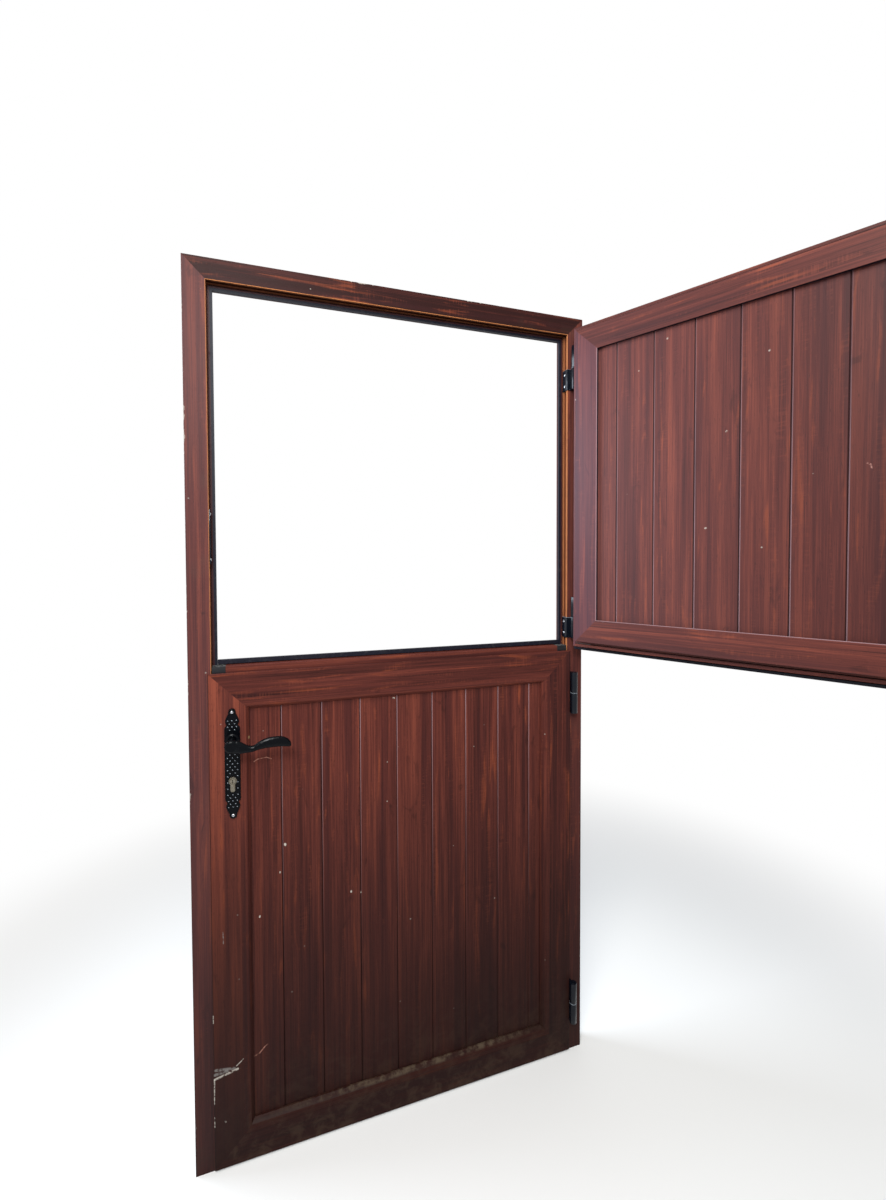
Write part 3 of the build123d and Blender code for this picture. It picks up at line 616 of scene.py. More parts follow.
def nickel(name="worn_nickel", shine=1.0):
    """Worn nickel over brass with fine wipe marks; painted shade darkens the gap round the plug and its
    keyways.
    """
    paint = Finish(name)
    look = bpy.context.scene.stable_door_fittings
    wiped = paint.vector(paint.x * 300.0, paint.y * 300.0, paint.z * 1800.0)
    wipe = paint.noise(1.0, 2.0, 0.6, point=wiped)
    dull = paint.noise(260.0, 4.0, 0.7)
    spots = paint.noise(620.0, 3.0, 0.7).rise(0.54, 0.66)
    shade = paint.mix(dull.rise(0.42, 0.60) * 0.8, look.nickel, (0.115, 0.095, 0.062, 1))
    shade = paint.mix(dull.rise(0.42, 0.30) * 0.7, shade, (0.060, 0.052, 0.040, 1))
    shade = paint.mix(spots * 0.6, shade, (0.035, 0.030, 0.024, 1))
    # painted shade: a dark ring in the gap round the plug
    off_x = paint.x - LOCK_X
    off_z = paint.z - CYLINDER_Z
    radius = (off_x * off_x + off_z * off_z) ** 0.5
    ring = radius.band(PLUG_RADIUS - 0.0005, PLUG_RADIUS + 0.0004, 0.0003)
    front = paint.y.rise(PLUG_LOW.y + 0.0004, PLUG_LOW.y + 0.0012)
    back = paint.y.rise(PLUG_HIGH.y - 0.0004, PLUG_HIGH.y - 0.0012)
    shade = paint.mix(ring * 0.85, shade, (0.012, 0.011, 0.010, 1))
    # painted shade inside the keyways, on a plug whose shine is below 1
    shade = paint.mix(front * back * (1.0 - shine) * 2.0, shade, (0.010, 0.009, 0.008, 1))
    return paint.close(
        shade, wipe * 0.2 + dull * 0.25 + 0.22, wipe - spots * 0.5, 0.2, 0.0003,
        metal=0.55 * shine + 0.1, specular=0.3,
    )


def steel():
    """Zinc-plated steel of the screws."""
    paint = Finish("zinc_steel")
    fine = paint.noise(1800.0, 2.0, 0.6)
    dull = paint.noise(340.0, 3.0, 0.6)
    shade = paint.ramp(dull, (0.3, (0.28, 0.29, 0.31, 1)), (0.7, (0.52, 0.53, 0.55, 1)))
    return paint.close(shade, fine * 0.2 + 0.20, fine, 0.12, 0.0002, metal=1.0)


def aluminium():
    """Mill-finish aluminium with drawn lines, dulled in patches, and dark as painted shade in the
    grooves where it sits.
    """
    paint = Finish("mill_aluminium")
    lines = paint.vector(paint.x * 900.0, paint.y * 900.0, paint.z * 25.0)
    drawn = paint.noise(1.0, 2.0, 0.6, point=lines)
    dull = paint.noise(45.0, 4.0, 0.6)
    # the dark colours paint the shade of the grooves that the cleats sit in
    shade = paint.ramp(dull, (0.35, (0.050, 0.048, 0.046, 1)), (0.7, (0.11, 0.108, 0.105, 1)))
    return paint.close(shade, drawn * 0.2 + 0.45, drawn, 0.12, 0.0003, metal=0.4, specular=0.2)


def dress(material, *nodes):
    """Give the CAD nodes a material."""
    for name in nodes:
        mesh = frame["nodes"][name].data
        if not mesh.materials:
            mesh.materials.append(material)
        for index in range(len(mesh.materials)):
            mesh.materials[index] = material


def finish_named(name, maker):
    """The material of that name, made once."""
    return bpy.data.materials.get(name) or maker()


# Mesh helpers

def add_piece(name, shape, material, body, replaces=(), smooth=38.0, second=None):
    """A finished piece: its mesh, its finish, the body it rides on and what it stands for."""
    mesh = bpy.data.meshes.new(name)
    shape.to_mesh(mesh)
    shape.free()
    mesh.materials.append(material)
    if second is not None:
        mesh.materials.append(second)
    mesh.polygons.foreach_set("use_smooth", [True] * len(mesh.polygons))
    mesh.set_sharp_from_angle(angle=math.radians(smooth))
    piece = bpy.data.objects.new(name, mesh)
    bpy.context.scene.collection.objects.link(piece)
    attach(piece, body)
    if replaces:
        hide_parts(*replaces)


def tidy(shape):
    """Close seams and poles and point every face outward."""
    bmesh.ops.remove_doubles(shape, verts=shape.verts, dist=0.00001)
    bmesh.ops.recalc_face_normals(shape, faces=shape.faces)
    return shape


def turned(profile, steps):
    """A shape turned about the Y axis; the profile gives each ring's radius and its Y."""
    shape = bmesh.new()
    points = [shape.verts.new((radius, y, 0)) for radius, y in profile]
    edges = [shape.edges.new(pair) for pair in zip(points, points[1:])]
    bmesh.ops.spin(
        shape, geom=points + edges, cent=(0, 0, 0), axis=(0, 1, 0), angle=math.tau,
        steps=steps, use_merge=True,
    )
    return tidy(shape)


def slab(outline, low, high):
    """An outline in X and Z given its thickness along Y."""
    shape = bmesh.new()
    face = shape.faces.new([shape.verts.new((x, low, z)) for x, z in outline])
    grown = bmesh.ops.extrude_face_region(shape, geom=[face])["geom"]
    moved = [item for item in grown if isinstance(item, bmesh.types.BMVert)]
    bmesh.ops.translate(shape, verts=moved, vec=(0, high - low, 0))
    return tidy(shape)


def brick(low, high):
    """A rectangular block between two corners."""
    shape = bmesh.new()
    size = Vector(high) - Vector(low)
    middle = Matrix.Translation((Vector(low) + Vector(high)) / 2)
    bmesh.ops.create_cube(shape, size=1.0, matrix=middle @ Matrix.Diagonal((*size, 1.0)))
    return shape


def put_in(shape, other, place=Matrix.Identity(4)):
    """Add another shape to this one, moved to its place, and drop the other."""
    passing = bpy.data.meshes.new("passing")
    other.to_mesh(passing)
    other.free()
    passing.transform(place)
    if place.determinant() < 0:
        passing.flip_normals()
    shape.from_mesh(passing)
    bpy.data.meshes.remove(passing)
    return shape


def held(shape):
    """A shape as an object of the scene, for modifiers to work on."""
    mesh = bpy.data.meshes.new("passing")
    shape.to_mesh(mesh)
    shape.free()
    holder = bpy.data.objects.new("passing", mesh)
    bpy.context.scene.collection.objects.link(holder)
    return holder


def let_go(holder):
    """Remove such an object and its mesh."""
    mesh = holder.data
    bpy.data.objects.remove(holder)
    bpy.data.meshes.remove(mesh)


def evaluated(shape, changes):
    """A shape after some modifiers, as a new shape."""
    holder = held(shape)
    for kind, settings in changes:
        modifier = holder.modifiers.new(kind, kind)
        for name, value in settings.items():
            setattr(modifier, name, value)
    result = bmesh.new()
    result.from_object(holder, bpy.context.evaluated_depsgraph_get())
    let_go(holder)
    return result


def carved(shape, tool):
    """A shape with a tool's shape taken out of it."""
    holder = held(tool)
    cut = {"operation": "DIFFERENCE", "solver": "EXACT", "object": holder}
    result = evaluated(shape, [("BOOLEAN", cut)])
    let_go(holder)
    return result


def add_rounded(name, node, width, material, body, segments=2):
    """A CAD node's own shape with its sharp edges rounded a little, in its place."""
    shape = bmesh.new()
    shape.from_mesh(frame["nodes"][node].data)
    bmesh.ops.remove_doubles(shape, verts=shape.verts, dist=0.00002)
    bmesh.ops.dissolve_limit(
        shape, angle_limit=math.radians(1.5), verts=shape.verts, edges=shape.edges
    )
    rounding = {
        "width": width, "segments": segments, "limit_method": "ANGLE",
        "angle_limit": math.radians(35.0), "use_clamp_overlap": True,
    }
    add_piece(name, evaluated(shape, [("BEVEL", rounding)]), material, body, (node,))


def facing(spot, way):
    """The place of a fitting made about the Y axis, pointing its outer end another way."""
    turn = Vector((0, -1, 0)).rotation_difference(Vector(way)).to_matrix().to_4x4()
    return Matrix.Translation(spot) @ turn


def screw_head(radius, rise):
    """A domed screw head, its outer end toward -Y, with a cross recess."""
    steps = 7
    angles = [step * math.pi / 2 / steps for step in range(steps + 1)]
    arc = [(radius * math.cos(angle), -rise * math.sin(angle)) for angle in angles]
    head = turned([(0, radius * 0.3), (radius * 0.94, radius * 0.3), (radius, radius * 0.12)] + arc, 24)
    wide = radius * 0.17
    long = radius * 0.62
    low = -rise - 0.001
    high = -rise * 0.35
    for x, z in ((wide, long), (long, wide)):
        head = carved(head, brick((-x, low, -z), (x, high, z)))
    return head


def add_screws(name, places, body, radius, rise):
    """Several like screw heads as one piece, each turned a little further than the last."""
    spin = 0.7
    head = screw_head(radius, rise)
    shape = bmesh.new()
    for count, (spot, way) in enumerate(places, 1):
        put_in(shape, head.copy(), facing(spot, way) @ Matrix.Rotation(spin * count, 4, "Y"))
    head.free()
    add_piece(name, shape, finish_named("zinc_steel", steel), body)


# Operators

class STABLEDOOR_OT_stage(bpy.types.Operator):
    """Lay the floor and set the lamps, the surround and the camera"""

    bl_idname = "stabledoor.stage"
    bl_label = "Stage"

    def execute(self, context):
        look = context.scene.stable_door_stage
        context.scene.view_settings.view_transform = "Standard"
        self.camera(context)
        self.surround(context, look)
        self.floor(context, look)
        plate = (LOCK_X, 0.0, LOCK_MIDDLE)
        self.lamp("key", (-1.3, -1.9, 3.2), (-0.55, 0.0, 1.25), 1.5, look.key, (1.0, 0.985, 0.96))
        self.lamp("doorway", (-1.6, 0.62, 1.95), (0.10, -0.25, 1.6), 1.0, look.sky, (0.78, 0.88, 1.0))
        self.lamp("glint", (-1.25, -2.0, 2.35), plate, 0.38, look.glint, (0.93, 0.97, 1.0))
        return {"FINISHED"}

    def camera(self, context):
        """The camera stands and looks as the photograph's did."""
        data = bpy.data.cameras.new("photo_view")
        data.sensor_width = 36
        data.lens = FOCAL / PICTURE_HIGH * data.sensor_width
        data.shift_y = (MIDDLE_ROW - PICTURE_HIGH / 2) / PICTURE_HIGH
        data.clip_start = 0.05
        camera = bpy.data.objects.new("photo_view", data)
        turns = ((-YAW, "Z"), (-PITCH, "X"), (ROLL, "Y"), (90.0, "X"))
        place = Matrix.Translation(EYE)
        for degrees, axis in turns:
            place = place @ Matrix.Rotation(math.radians(degrees), 4, axis)
        camera.matrix_world = place
        context.scene.collection.objects.link(camera)
        context.scene.camera = camera

    def surround(self, context, look):
        """An even pale surround, white where the camera, metal or glass sees it."""
        context.scene.world = bpy.data.worlds.new("pale_surround")
        air = Nodes(context.scene.world)
        strength = air.node("ShaderNodeMapRange", {}, {0: air.seen(), 3: look.fill, 4: 1.0}).outputs[0]
        light = air.node("ShaderNodeBackground", {}, {"Color": WHITE, "Strength": strength})
        air.node("ShaderNodeOutputWorld", {}, {0: light.outputs[0]})

    def floor(self, context, look):
        """A wide plain floor that keeps the door's shadow."""
        shape = bmesh.new()
        bmesh.ops.create_grid(shape, x_segments=1, y_segments=1, size=9.0)
        mesh = bpy.data.meshes.new("studio_floor")
        shape.to_mesh(mesh)
        shape.free()
        paint = Finish("pale_floor")
        cloud = paint.noise(2.0, 2.0)
        shade = paint.mix(cloud * 0.12, look.floor, (0.88, 0.88, 0.87, 1))
        away = (paint.x + 0.4) ** 2.0 + paint.y ** 2.0
        glow = away.rise(0.0, 5.0) * paint.seen()
        mesh.materials.append(paint.close(shade, cloud * 0.05 + 0.75, cloud, 0.02, 0.001, glow=glow))
        floor = bpy.data.objects.new("studio_floor", mesh)
        context.scene.collection.objects.link(floor)

    def lamp(self, name, spot, target, size, power, shade):
        """A square soft lamp that looks at a point."""
        data = bpy.data.lights.new(name, "AREA")
        data.shape = "SQUARE"
        data.size = size
        data.energy = power
        data.color = shade
        lamp = bpy.data.objects.new(name, data)
        lamp.location = spot
        lamp.rotation_euler = (Vector(target) - Vector(spot)).to_track_quat("-Z", "Y").to_euler()
        bpy.context.scene.collection.objects.link(lamp)


class STABLEDOOR_OT_film(bpy.types.Operator):
    """Cover the bars, beads, slats and meeting rail in wood-effect film"""

    bl_idname = "stabledoor.film"
    bl_label = "Wood-effect film"

    def execute(self, context):
        self.frame_bars()
        self.lower_leaf()
        self.upper_leaf()
        return {"FINISHED"}

    def frame_bars(self):
        """The two jambs and the head."""
        rebate = FRAME_HIGH - BAR
        # each bar's tone paints the light and shade on it, darkest on the head; the last number is its
        # painted sheen
        lock = frame_film("film_lock_jamb", "z", ("x", ARRIS_LOCK), ("x", -FRAME_WIDE))
        hinge = frame_film("film_hinge_jamb", "z", ("x", ARRIS_HINGE), ("x", 0.0), -0.02, 1.0, 0.06)
        head = frame_film("film_head", "x", ("z", rebate), ("z", FRAME_HIGH), -0.18, 0.25, 0.0)
        dress(lock, "frame_jamb_lock")
        dress(hinge, "frame_jamb_hinge")
        dress(head, "frame_head")

    def lower_leaf(self):
        """Slats, stiles, rails, beads and the meeting rail of the lower leaf."""
        self.lower_slats()
        self.lower_lock_stile()
        # the lower tones of the hinge stile and the rails paint shade on them
        hinge = leaf_film("film_lower_hinge_stile", "z", 17.0, edge=LEAF_HINGE, tone=-0.08)
        dress(hinge.done(), "lower_stile_hinge")
        top = leaf_film("film_lower_top_rail", "x", 23.0, tone=-0.07)
        top.marks(((-0.337, 1.054), (-0.333, 1.046), 0.004), ((-0.43, 1.012), (-0.428, 1.010), 0.003))
        dress(top.done(), "lower_rail_top")
        bottom = leaf_film("film_lower_bottom_rail", "x", 29.0, tone=-0.03)
        bottom.dust(0.11, 0.15)
        dress(bottom.done(), "lower_rail_bottom")
        upright = leaf_film("film_lower_upright_beads", "z", 31.0)
        upright.marks(
            ((-0.8845, 0.994), (-0.8845, 0.990), 0.0018), shade=(0.35, 0.25, 0.12, 1), face=BEAD_FACE
        )
        dress(upright.done(), "lower_bead_lock", "lower_bead_hinge")
        dress(leaf_film("film_lower_top_bead", "x", 37.0).done(), "lower_bead_top")
        sill = leaf_film("film_lower_bottom_bead", "x", 41.0)
        cloud = sill.paint.noise(40.0, 4.0, 0.7)
        reach = sill.paint.x.rise(-0.93, -0.55) * sill.paint.x.rise(-0.05, -0.35)
        lip = sill.paint.z.rise(0.084, 0.0885)
        sill.cover(lip * reach * cloud.rise(0.40, 0.66) * 0.42, (0.15, 0.115, 0.075, 1), 0.9, 0.4)
        dress(sill.done(), "lower_bead_bottom")
        dress(leaf_film("film_meeting_rail", "x", 43.0).done(), "meeting_rail")

    def lower_slats(self):
        """Slats with two curved scuffs and a few splashes of plaster."""
        slat = leaf_film("film_lower_slats", "z", 3.0, seam=LOWER_SEAM, tone=-0.015)
        slat.marks(
            ((-0.8743, 0.932), (-0.866, 0.937), 0.0014), ((-0.866, 0.937), (-0.847, 0.939), 0.0012),
            ((-0.847, 0.939), (-0.836, 0.934), 0.0012), ((-0.886, 0.233), (-0.8708, 0.238), 0.0014),
            ((-0.8708, 0.238), (-0.8583, 0.251), 0.0016), ((-0.8583, 0.251), (-0.852, 0.254), 0.0014),
            shade=(0.34, 0.16, 0.12, 1), amount=0.75, face=SLAT_FACE,
        )
        slat.marks(
            ((-0.8077, 0.7265), (-0.807, 0.724), 0.0034), ((-0.8198, 0.6615), (-0.8195, 0.660), 0.0022),
            ((-0.6529, 0.5811), (-0.6525, 0.579), 0.0026), ((-0.6282, 0.5734), (-0.628, 0.572), 0.0022),
            ((-0.8660, 0.566), (-0.8664, 0.5635), 0.0022), ((-0.5437, 1.0514), (-0.541, 1.051), 0.0028),
            face=SLAT_FACE,
        )
        dress(slat.done(), "lower_slats")

    def lower_lock_stile(self):
        """Lock stile with the broken corner of its film, low down, and grey smears round it."""
        # the raised tone paints light on this stile, and darken adds more painted shade low down
        lock = leaf_film("film_lower_lock_stile", "z", 11.0, edge=LEAF_LOCK, tone=0.115)
        lock.darken(0.95, 0.65)
        lock.marks(
            ((-0.9665, 0.2205), (-0.918, 0.2305), 0.0034), ((-0.921, 0.238), (-0.905, 0.250), 0.0014),
            ((-0.9675, 0.2200), (-0.9685, 0.1640), 0.0018), ((-0.9685, 0.132), (-0.9685, 0.110), 0.0016),
            ((-0.9685, 0.368), (-0.9685, 0.352), 0.0018), ((-0.9457, 0.1163), (-0.945, 0.115), 0.0026),
            amount=0.6,
        )
        lock.marks(
            ((-0.964, 0.241), (-0.925, 0.234), 0.0042), ((-0.966, 0.231), (-0.940, 0.2325), 0.0046),
            ((-0.945, 0.556), (-0.9445, 0.530), 0.0014), shade=(0.22, 0.21, 0.20, 1), amount=0.5,
        )
        dress(lock.done(), "lower_stile_lock")

    def upper_leaf(self):
        """Slats, stiles and rails of the upper leaf, with a cool painted sheen near the hinges."""
        painted_sheen = (0.150, 0.095, 0.108, 1)
        near = (-0.80, -0.12)
        self.upper_slats(painted_sheen, near)
        # the lower tones of the hinge stile and the rails paint shade on them
        hinge = leaf_film("film_upper_hinge_stile", "z", 59.0, True, tone=-0.03)
        # painted cool sheen over the hinge stile
        hinge.painted_light((0.130, 0.078, 0.110, 1), 0.26)
        hinge.arris("x", LEAF_HINGE - OUTSIDE_LEG)
        dress(hinge.done(0.16), "upper_stile_hinge", "upper_bead_hinge")
        lock = leaf_film("film_upper_lock_stile", "z", 67.0, True)
        lock.arris("x", LEAF_LOCK + OUTSIDE_LEG)
        dress(lock.done(0.12), "upper_stile_lock", "upper_bead_lock")
        top = leaf_film("film_upper_top_rail", "x", 61.0, True, tone=-0.045)
        top.painted_light(painted_sheen, 0.10, near)
        dress(top.done(0.12), "upper_rail_top", "upper_bead_top")
        bottom = leaf_film("film_upper_bottom_rail", "x", 73.0, True, tone=-0.01)
        bottom.painted_light(painted_sheen, 0.10, near)
        bottom.arris("z", UPPER_RAIL_LIP)
        dress(bottom.done(0.12), "upper_rail_bottom", "upper_bead_bottom")

    def upper_slats(self, painted_sheen, near):
        """Slats with a painted sheen near the hinges and painted shade far from them, with a few
        splashes.
        """
        slat = leaf_film("film_upper_slats", "z", 53.0, True, UPPER_SEAM, tone=0.008)
        slat.painted_light(painted_sheen, 0.15, near)
        # painted shade, darker towards the lock side
        slat.painted_light((0.026, 0.010, 0.011, 1), 0.62, (-0.20, -0.92))
        slat.marks(
            ((-0.3042, 1.9105), (-0.303, 1.909), 0.0026), ((-0.512, 1.825), (-0.511, 1.824), 0.0024),
            ((-0.3915, 1.4665), (-0.390, 1.466), 0.0026), ((-0.4325, 1.674), (-0.431, 1.673), 0.0022),
            amount=0.45, face=UPPER_SLAT_FACE,
        )
        slat.marks(
            ((-0.672, 1.574), (-0.678, 1.570), 0.0018), ((-0.678, 1.570), (-0.679, 1.562), 0.0016),
            shade=(0.34, 0.17, 0.14, 1), amount=0.6, face=UPPER_SLAT_FACE,
        )
        dress(slat.done(0.12), "upper_slats")


class STABLEDOOR_OT_gaskets(bpy.types.Operator):
    """Give the gaskets, cleats and hidden cases their rubber and bare metal"""

    bl_idname = "stabledoor.gaskets"
    bl_label = "Gaskets and inner metal"

    def execute(self, context):
        dress(
            rubber(), "lower_wing_gasket", "lower_panel_gasket", "upper_wing_gasket",
            "upper_panel_gasket", "meeting_rail_gasket",
        )
        dress(rubber("stop_gasket_rubber", 0.38, foot=True), "frame_gasket")
        dress(aluminium(), "frame_corner_cleats", "lower_corner_cleats", "upper_corner_cleats")
        dress(
            finish_named("zinc_steel", steel), "lock_case", "lock_follower", "spindle",
            "latch_bolt", "dead_bolt", "upper_bolt", "upper_latch_case",
        )
        return {"FINISHED"}


class STABLEDOOR_OT_hinges(bpy.types.Operator):
    """Round the hinges' edges, coat them black and set their screws"""

    bl_idname = "stabledoor.hinges"
    bl_label = "Hinges"

    def execute(self, context):
        edge = context.scene.stable_door_fittings.edge
        coat = finish_named("black_hinge_coat", black_coat)
        for name, node, body in (
            ("hinges_on_jamb", "hinge_frame_halves", "frame"),
            ("hinges_on_lower_leaf", "lower_hinge_halves", "lower_leaf"),
            ("hinges_on_upper_leaf", "upper_hinge_halves", "upper_leaf"),
        ):
            add_rounded(name, node, edge, coat, body)
        self.screws()
        return {"FINISHED"}

    def screws(self):
        """Two screws in each half's plate, on the side that the gap shows."""
        jamb_face = -0.0503
        leaf_face = -0.0517
        from_end = (0.013, 0.044)
        radius, rise = 0.0034, 0.0011
        spots = [
            (Vector((jamb_face, GROOVE_Y, middle - HINGE_HALF + inward)), (-1, 0, 0))
            for middle in HINGE_MIDDLES for inward in from_end
        ]
        add_screws("hinge_screws_on_jamb", spots, "frame", radius, rise)
        for leaf, middles, place in (
            ("lower", HINGE_MIDDLES[:2], Matrix.Identity(4)), ("upper", HINGE_MIDDLES[2:], OPENED),
        ):
            way = place.to_3x3() @ Vector((1, 0, 0))
            spots = [
                (place @ Vector((leaf_face, GROOVE_Y, middle + HINGE_HALF - inward)), way)
                for middle in middles for inward in from_end
            ]
            add_screws(f"hinge_screws_on_{leaf}_leaf", spots, f"{leaf}_leaf", radius, rise)


def on_side(face, way, height):
    """The place on one side of the leaf for a fitting that is made facing -Y."""
    return Matrix.Translation((LOCK_X, face, height)) @ Matrix.Diagonal((1, -way, 1, 1))


def plate_outline():
    """Outline of a handle plate about its middle: straight, waisted, flared, then a round finial."""
    finial_low, finial_middle, finial_radius = 114.0, 117.0, 8.0
    unit = (PLATE_HIGH.x - PLATE_LOW.x) / 34.0
    side = [(17.0, 0.0), (17.0, 80.0), (16.2, 82.6), (13.4, 85.6), (12.4, 88.0), (12.9, 90.4),
            (14.9, 94.2), (15.2, 96.8), (14.3, 101.0), (12.2, 106.0), (9.6, 110.6), (8.2, 113.4)]
    for step in range(1, 6):
        angle = math.radians(-22 + step * 22.4)
        side.append((finial_radius * math.cos(angle), finial_middle + finial_radius * math.sin(angle)))
    side = [(x * (unit if z < finial_low else MM), z * MM) for x, z in side]
    top = side[1:] + [(-x, z) for x, z in reversed(side[1:])]
    return top + [(-x, -z) for x, z in top]


def cylinder_hole(gap):
    """Outline of the cylinder about its plug, a circle with a straight tail below."""
    radius = 8.5 * MM + gap
    half = 5.0 * MM + gap
    tail = 24.5 * MM + gap
    corner = 3.0 * MM
    steps = 24
    start = math.asin(half / radius)
    ring = []
    for step in range(steps + 1):
        angle = -math.pi / 2 + start + step * (math.tau - 2 * start) / steps
        ring.append((radius * math.cos(angle), radius * math.sin(angle)))
    low = corner - tail
    return ring + [(-half, low), (-half + corner, -tail), (half - corner, -tail), (half, low)]


class STABLEDOOR_OT_plates(bpy.types.Operator):
    """Make the studded handle plates with their bosses and screws"""

    bl_idname = "stabledoor.plates"
    bl_label = "Handle plates"

    def execute(self, context):
        look = context.scene.stable_door_fittings
        enamel = finish_named("black_enamelled_iron", iron)
        tops = stud_tops()
        for side, face, way in SIDES:
            shape = put_in(bmesh.new(), self.plate(look), on_side(face, way, LOCK_MIDDLE))
            add_piece(
                f"studded_plate_{side}", shape, enamel, "lower_leaf",
                (f"handle_plate_{side}",), second=tops,
            )
            spots = [
                (Vector((LOCK_X, face + way * 0.0052, LOCK_MIDDLE + end)), (0, way, 0))
                for end in (-0.117, 0.117)
            ]
            add_screws(f"plate_screws_{side}", spots, "lower_leaf", look.screw, 0.0024)
        return {"FINISHED"}

    def plate(self, look):
        """One plate, lying on Y = 0 and facing -Y."""
        thick = 0.0050
        sunk = 0.0009
        shape = slab(plate_outline(), -thick, 0.0)
        rim = [edge for edge in shape.edges if all(v.co.y < -thick * 0.9 for v in edge.verts)]
        bmesh.ops.bevel(
            shape, geom=rim, offset=0.0012, segments=3, profile=0.5, affect="EDGES", material=-1
        )
        front = [face for face in shape.faces if face.normal.y < -0.99 and len(face.verts) > 8]
        bmesh.ops.inset_region(shape, faces=front, thickness=0.0014, depth=0.0)
        bmesh.ops.inset_region(shape, faces=front, thickness=0.0006, depth=-sunk)
        hole = slab(cylinder_hole(0.0004), -0.02, 0.02)
        bmesh.ops.translate(hole, verts=hole.verts, vec=(0, 0, CYLINDER_Z - LOCK_MIDDLE))
        shape = carved(shape, hole)
        self.add_boss(shape, thick)
        self.add_studs(shape, thick - sunk, look)
        return shape

    def add_boss(self, shape, thick):
        """A stepped round boss that the lever's neck turns in."""
        boss = turned([
            (0.0086, -thick + 0.002), (0.0168, -thick + 0.002), (0.0168, -thick - 0.0004),
            (0.0162, -thick - 0.0012), (0.0150, -thick - 0.0013), (0.0138, -thick - 0.0011),
            (0.0126, -thick - 0.0019), (0.0110, -thick - 0.0026), (0.0092, -thick - 0.0029),
            (0.0086, -thick - 0.0027), (0.0086, -thick + 0.002),
        ], 40)
        put_in(shape, boss, Matrix.Translation((0, 0, SPINDLE_Z - LOCK_MIDDLE)))

    def add_studs(self, shape, field, look):
        """Domed studs in staggered rows, with their tops rubbed bright."""
        waist, last = 0.083, 0.1085
        rows = math.ceil(last / look.stud_step)
        for row in range(-rows, rows + 1):
            z = row * look.stud_step
            for x in ((-0.0106, 0.0, 0.0106), (-0.0053, 0.0053))[row % 2]:
                if abs(z) > waist and abs(x) > 0.010:
                    x *= 0.86
                if abs(z) > last or not self.is_field(x, z):
                    continue
                place = Matrix.Translation((x, -field, z)) @ Matrix.Diagonal((1, 0.85, 1, 1))
                made = bmesh.ops.create_icosphere(shape, subdivisions=2, radius=look.stud, matrix=place)
                for face in {face for vert in made["verts"] for face in vert.link_faces}:
                    face.normal_update()
                    face.material_index = int(face.normal.y < -0.80)

    def is_field(self, x, z):
        """Whether a place lies clear of the boss, the cylinder and the narrow ends."""
        spindle = SPINDLE_Z - LOCK_MIDDLE
        cylinder = CYLINDER_Z - LOCK_MIDDLE
        on_end = abs(z) > 0.102 and abs(x) > 0.005
        on_boss = math.hypot(x, z - spindle) < 0.0195
        on_plug = math.hypot(x, z - cylinder) < 0.0112
        on_tail = abs(x) < 0.0085 and cylinder - 0.0270 < z < cylinder
        return not (on_end or on_boss or on_plug or on_tail)


class STABLEDOOR_OT_levers(bpy.types.Operator):
    """Make the cast lever handles, each with its neck and full-backed grip"""

    bl_idname = "stabledoor.levers"
    bl_label = "Levers"

    def execute(self, context):
        enamel = finish_named("black_enamelled_iron", iron)
        for side, face, way in SIDES:
            shape = put_in(bmesh.new(), self.lever(), on_side(face, way, SPINDLE_Z))
            add_piece(
                f"cast_lever_{side}", shape, enamel, "handle", (f"lever_{side}",), 60.0
            )
        return {"FINISHED"}

    def lever(self):
        """One lever about its spindle, facing -Y; its parts are cast into one skin."""
        neck = turned([
            (0.0, -0.0042), (0.0080, -0.0042), (0.0083, -0.012), (0.0080, -0.022), (0.0082, -0.032),
            (0.0112, -0.040), (0.0138, -0.0455), (0.0146, -0.050), (0.0136, -0.0543), (0.0100, -0.0568),
            (0.0, -0.0574),
        ], 32)
        # place along X, middle height, half height, half thickness, depth of the middle
        stations = (
            (0.000, -0.0010, 0.0142, 0.0060, 0.0510), (0.013, -0.0020, 0.0142, 0.0060, 0.0512),
            (0.020, -0.0046, 0.0132, 0.0060, 0.0514), (0.026, -0.0060, 0.0110, 0.0060, 0.0516),
            (0.034, -0.0082, 0.0084, 0.0060, 0.0518), (0.041, -0.0090, 0.0070, 0.0061, 0.0520),
            (0.047, -0.0082, 0.0069, 0.0061, 0.0520), (0.053, -0.0052, 0.0080, 0.0061, 0.0520),
            (0.060, -0.0024, 0.0096, 0.0061, 0.0519), (0.068, -0.0003, 0.0108, 0.0061, 0.0518),
            (0.078, 0.0011, 0.0116, 0.0061, 0.0517), (0.088, 0.0016, 0.0120, 0.0061, 0.0516),
            (0.099, 0.0012, 0.0120, 0.0060, 0.0514), (0.110, -0.0004, 0.0114, 0.0056, 0.0512),
            (0.118, -0.0034, 0.0096, 0.0048, 0.0510), (0.1230, -0.0062, 0.0066, 0.0036, 0.0510),
            (0.1255, -0.0084, 0.0034, 0.0022, 0.0510),
        )
        grip = bmesh.new()
        rings = []
        for x, z, high, thick, deep in stations:
            place = (
                Matrix.Translation((x, -deep, z)) @ Matrix.Rotation(math.pi / 2, 4, "Y")
                @ Matrix.Diagonal((high, thick, 1, 1))
            )
            made = bmesh.ops.create_circle(grip, segments=20, radius=1.0, matrix=place)["verts"]
            ring = list({edge for vert in made for edge in vert.link_edges})
            if rings:
                bmesh.ops.bridge_loops(grip, edges=rings[-1] + ring)
            rings.append(ring)
        bmesh.ops.contextual_create(grip, geom=rings[0])
        bmesh.ops.contextual_create(grip, geom=rings[-1])
        shape = put_in(neck, tidy(grip))
        cast = {"mode": "VOXEL", "voxel_size": 0.0009, "use_smooth_shade": True}
        return evaluated(shape, [("REMESH", cast), ("SMOOTH", {"factor": 0.5, "iterations": 6})])


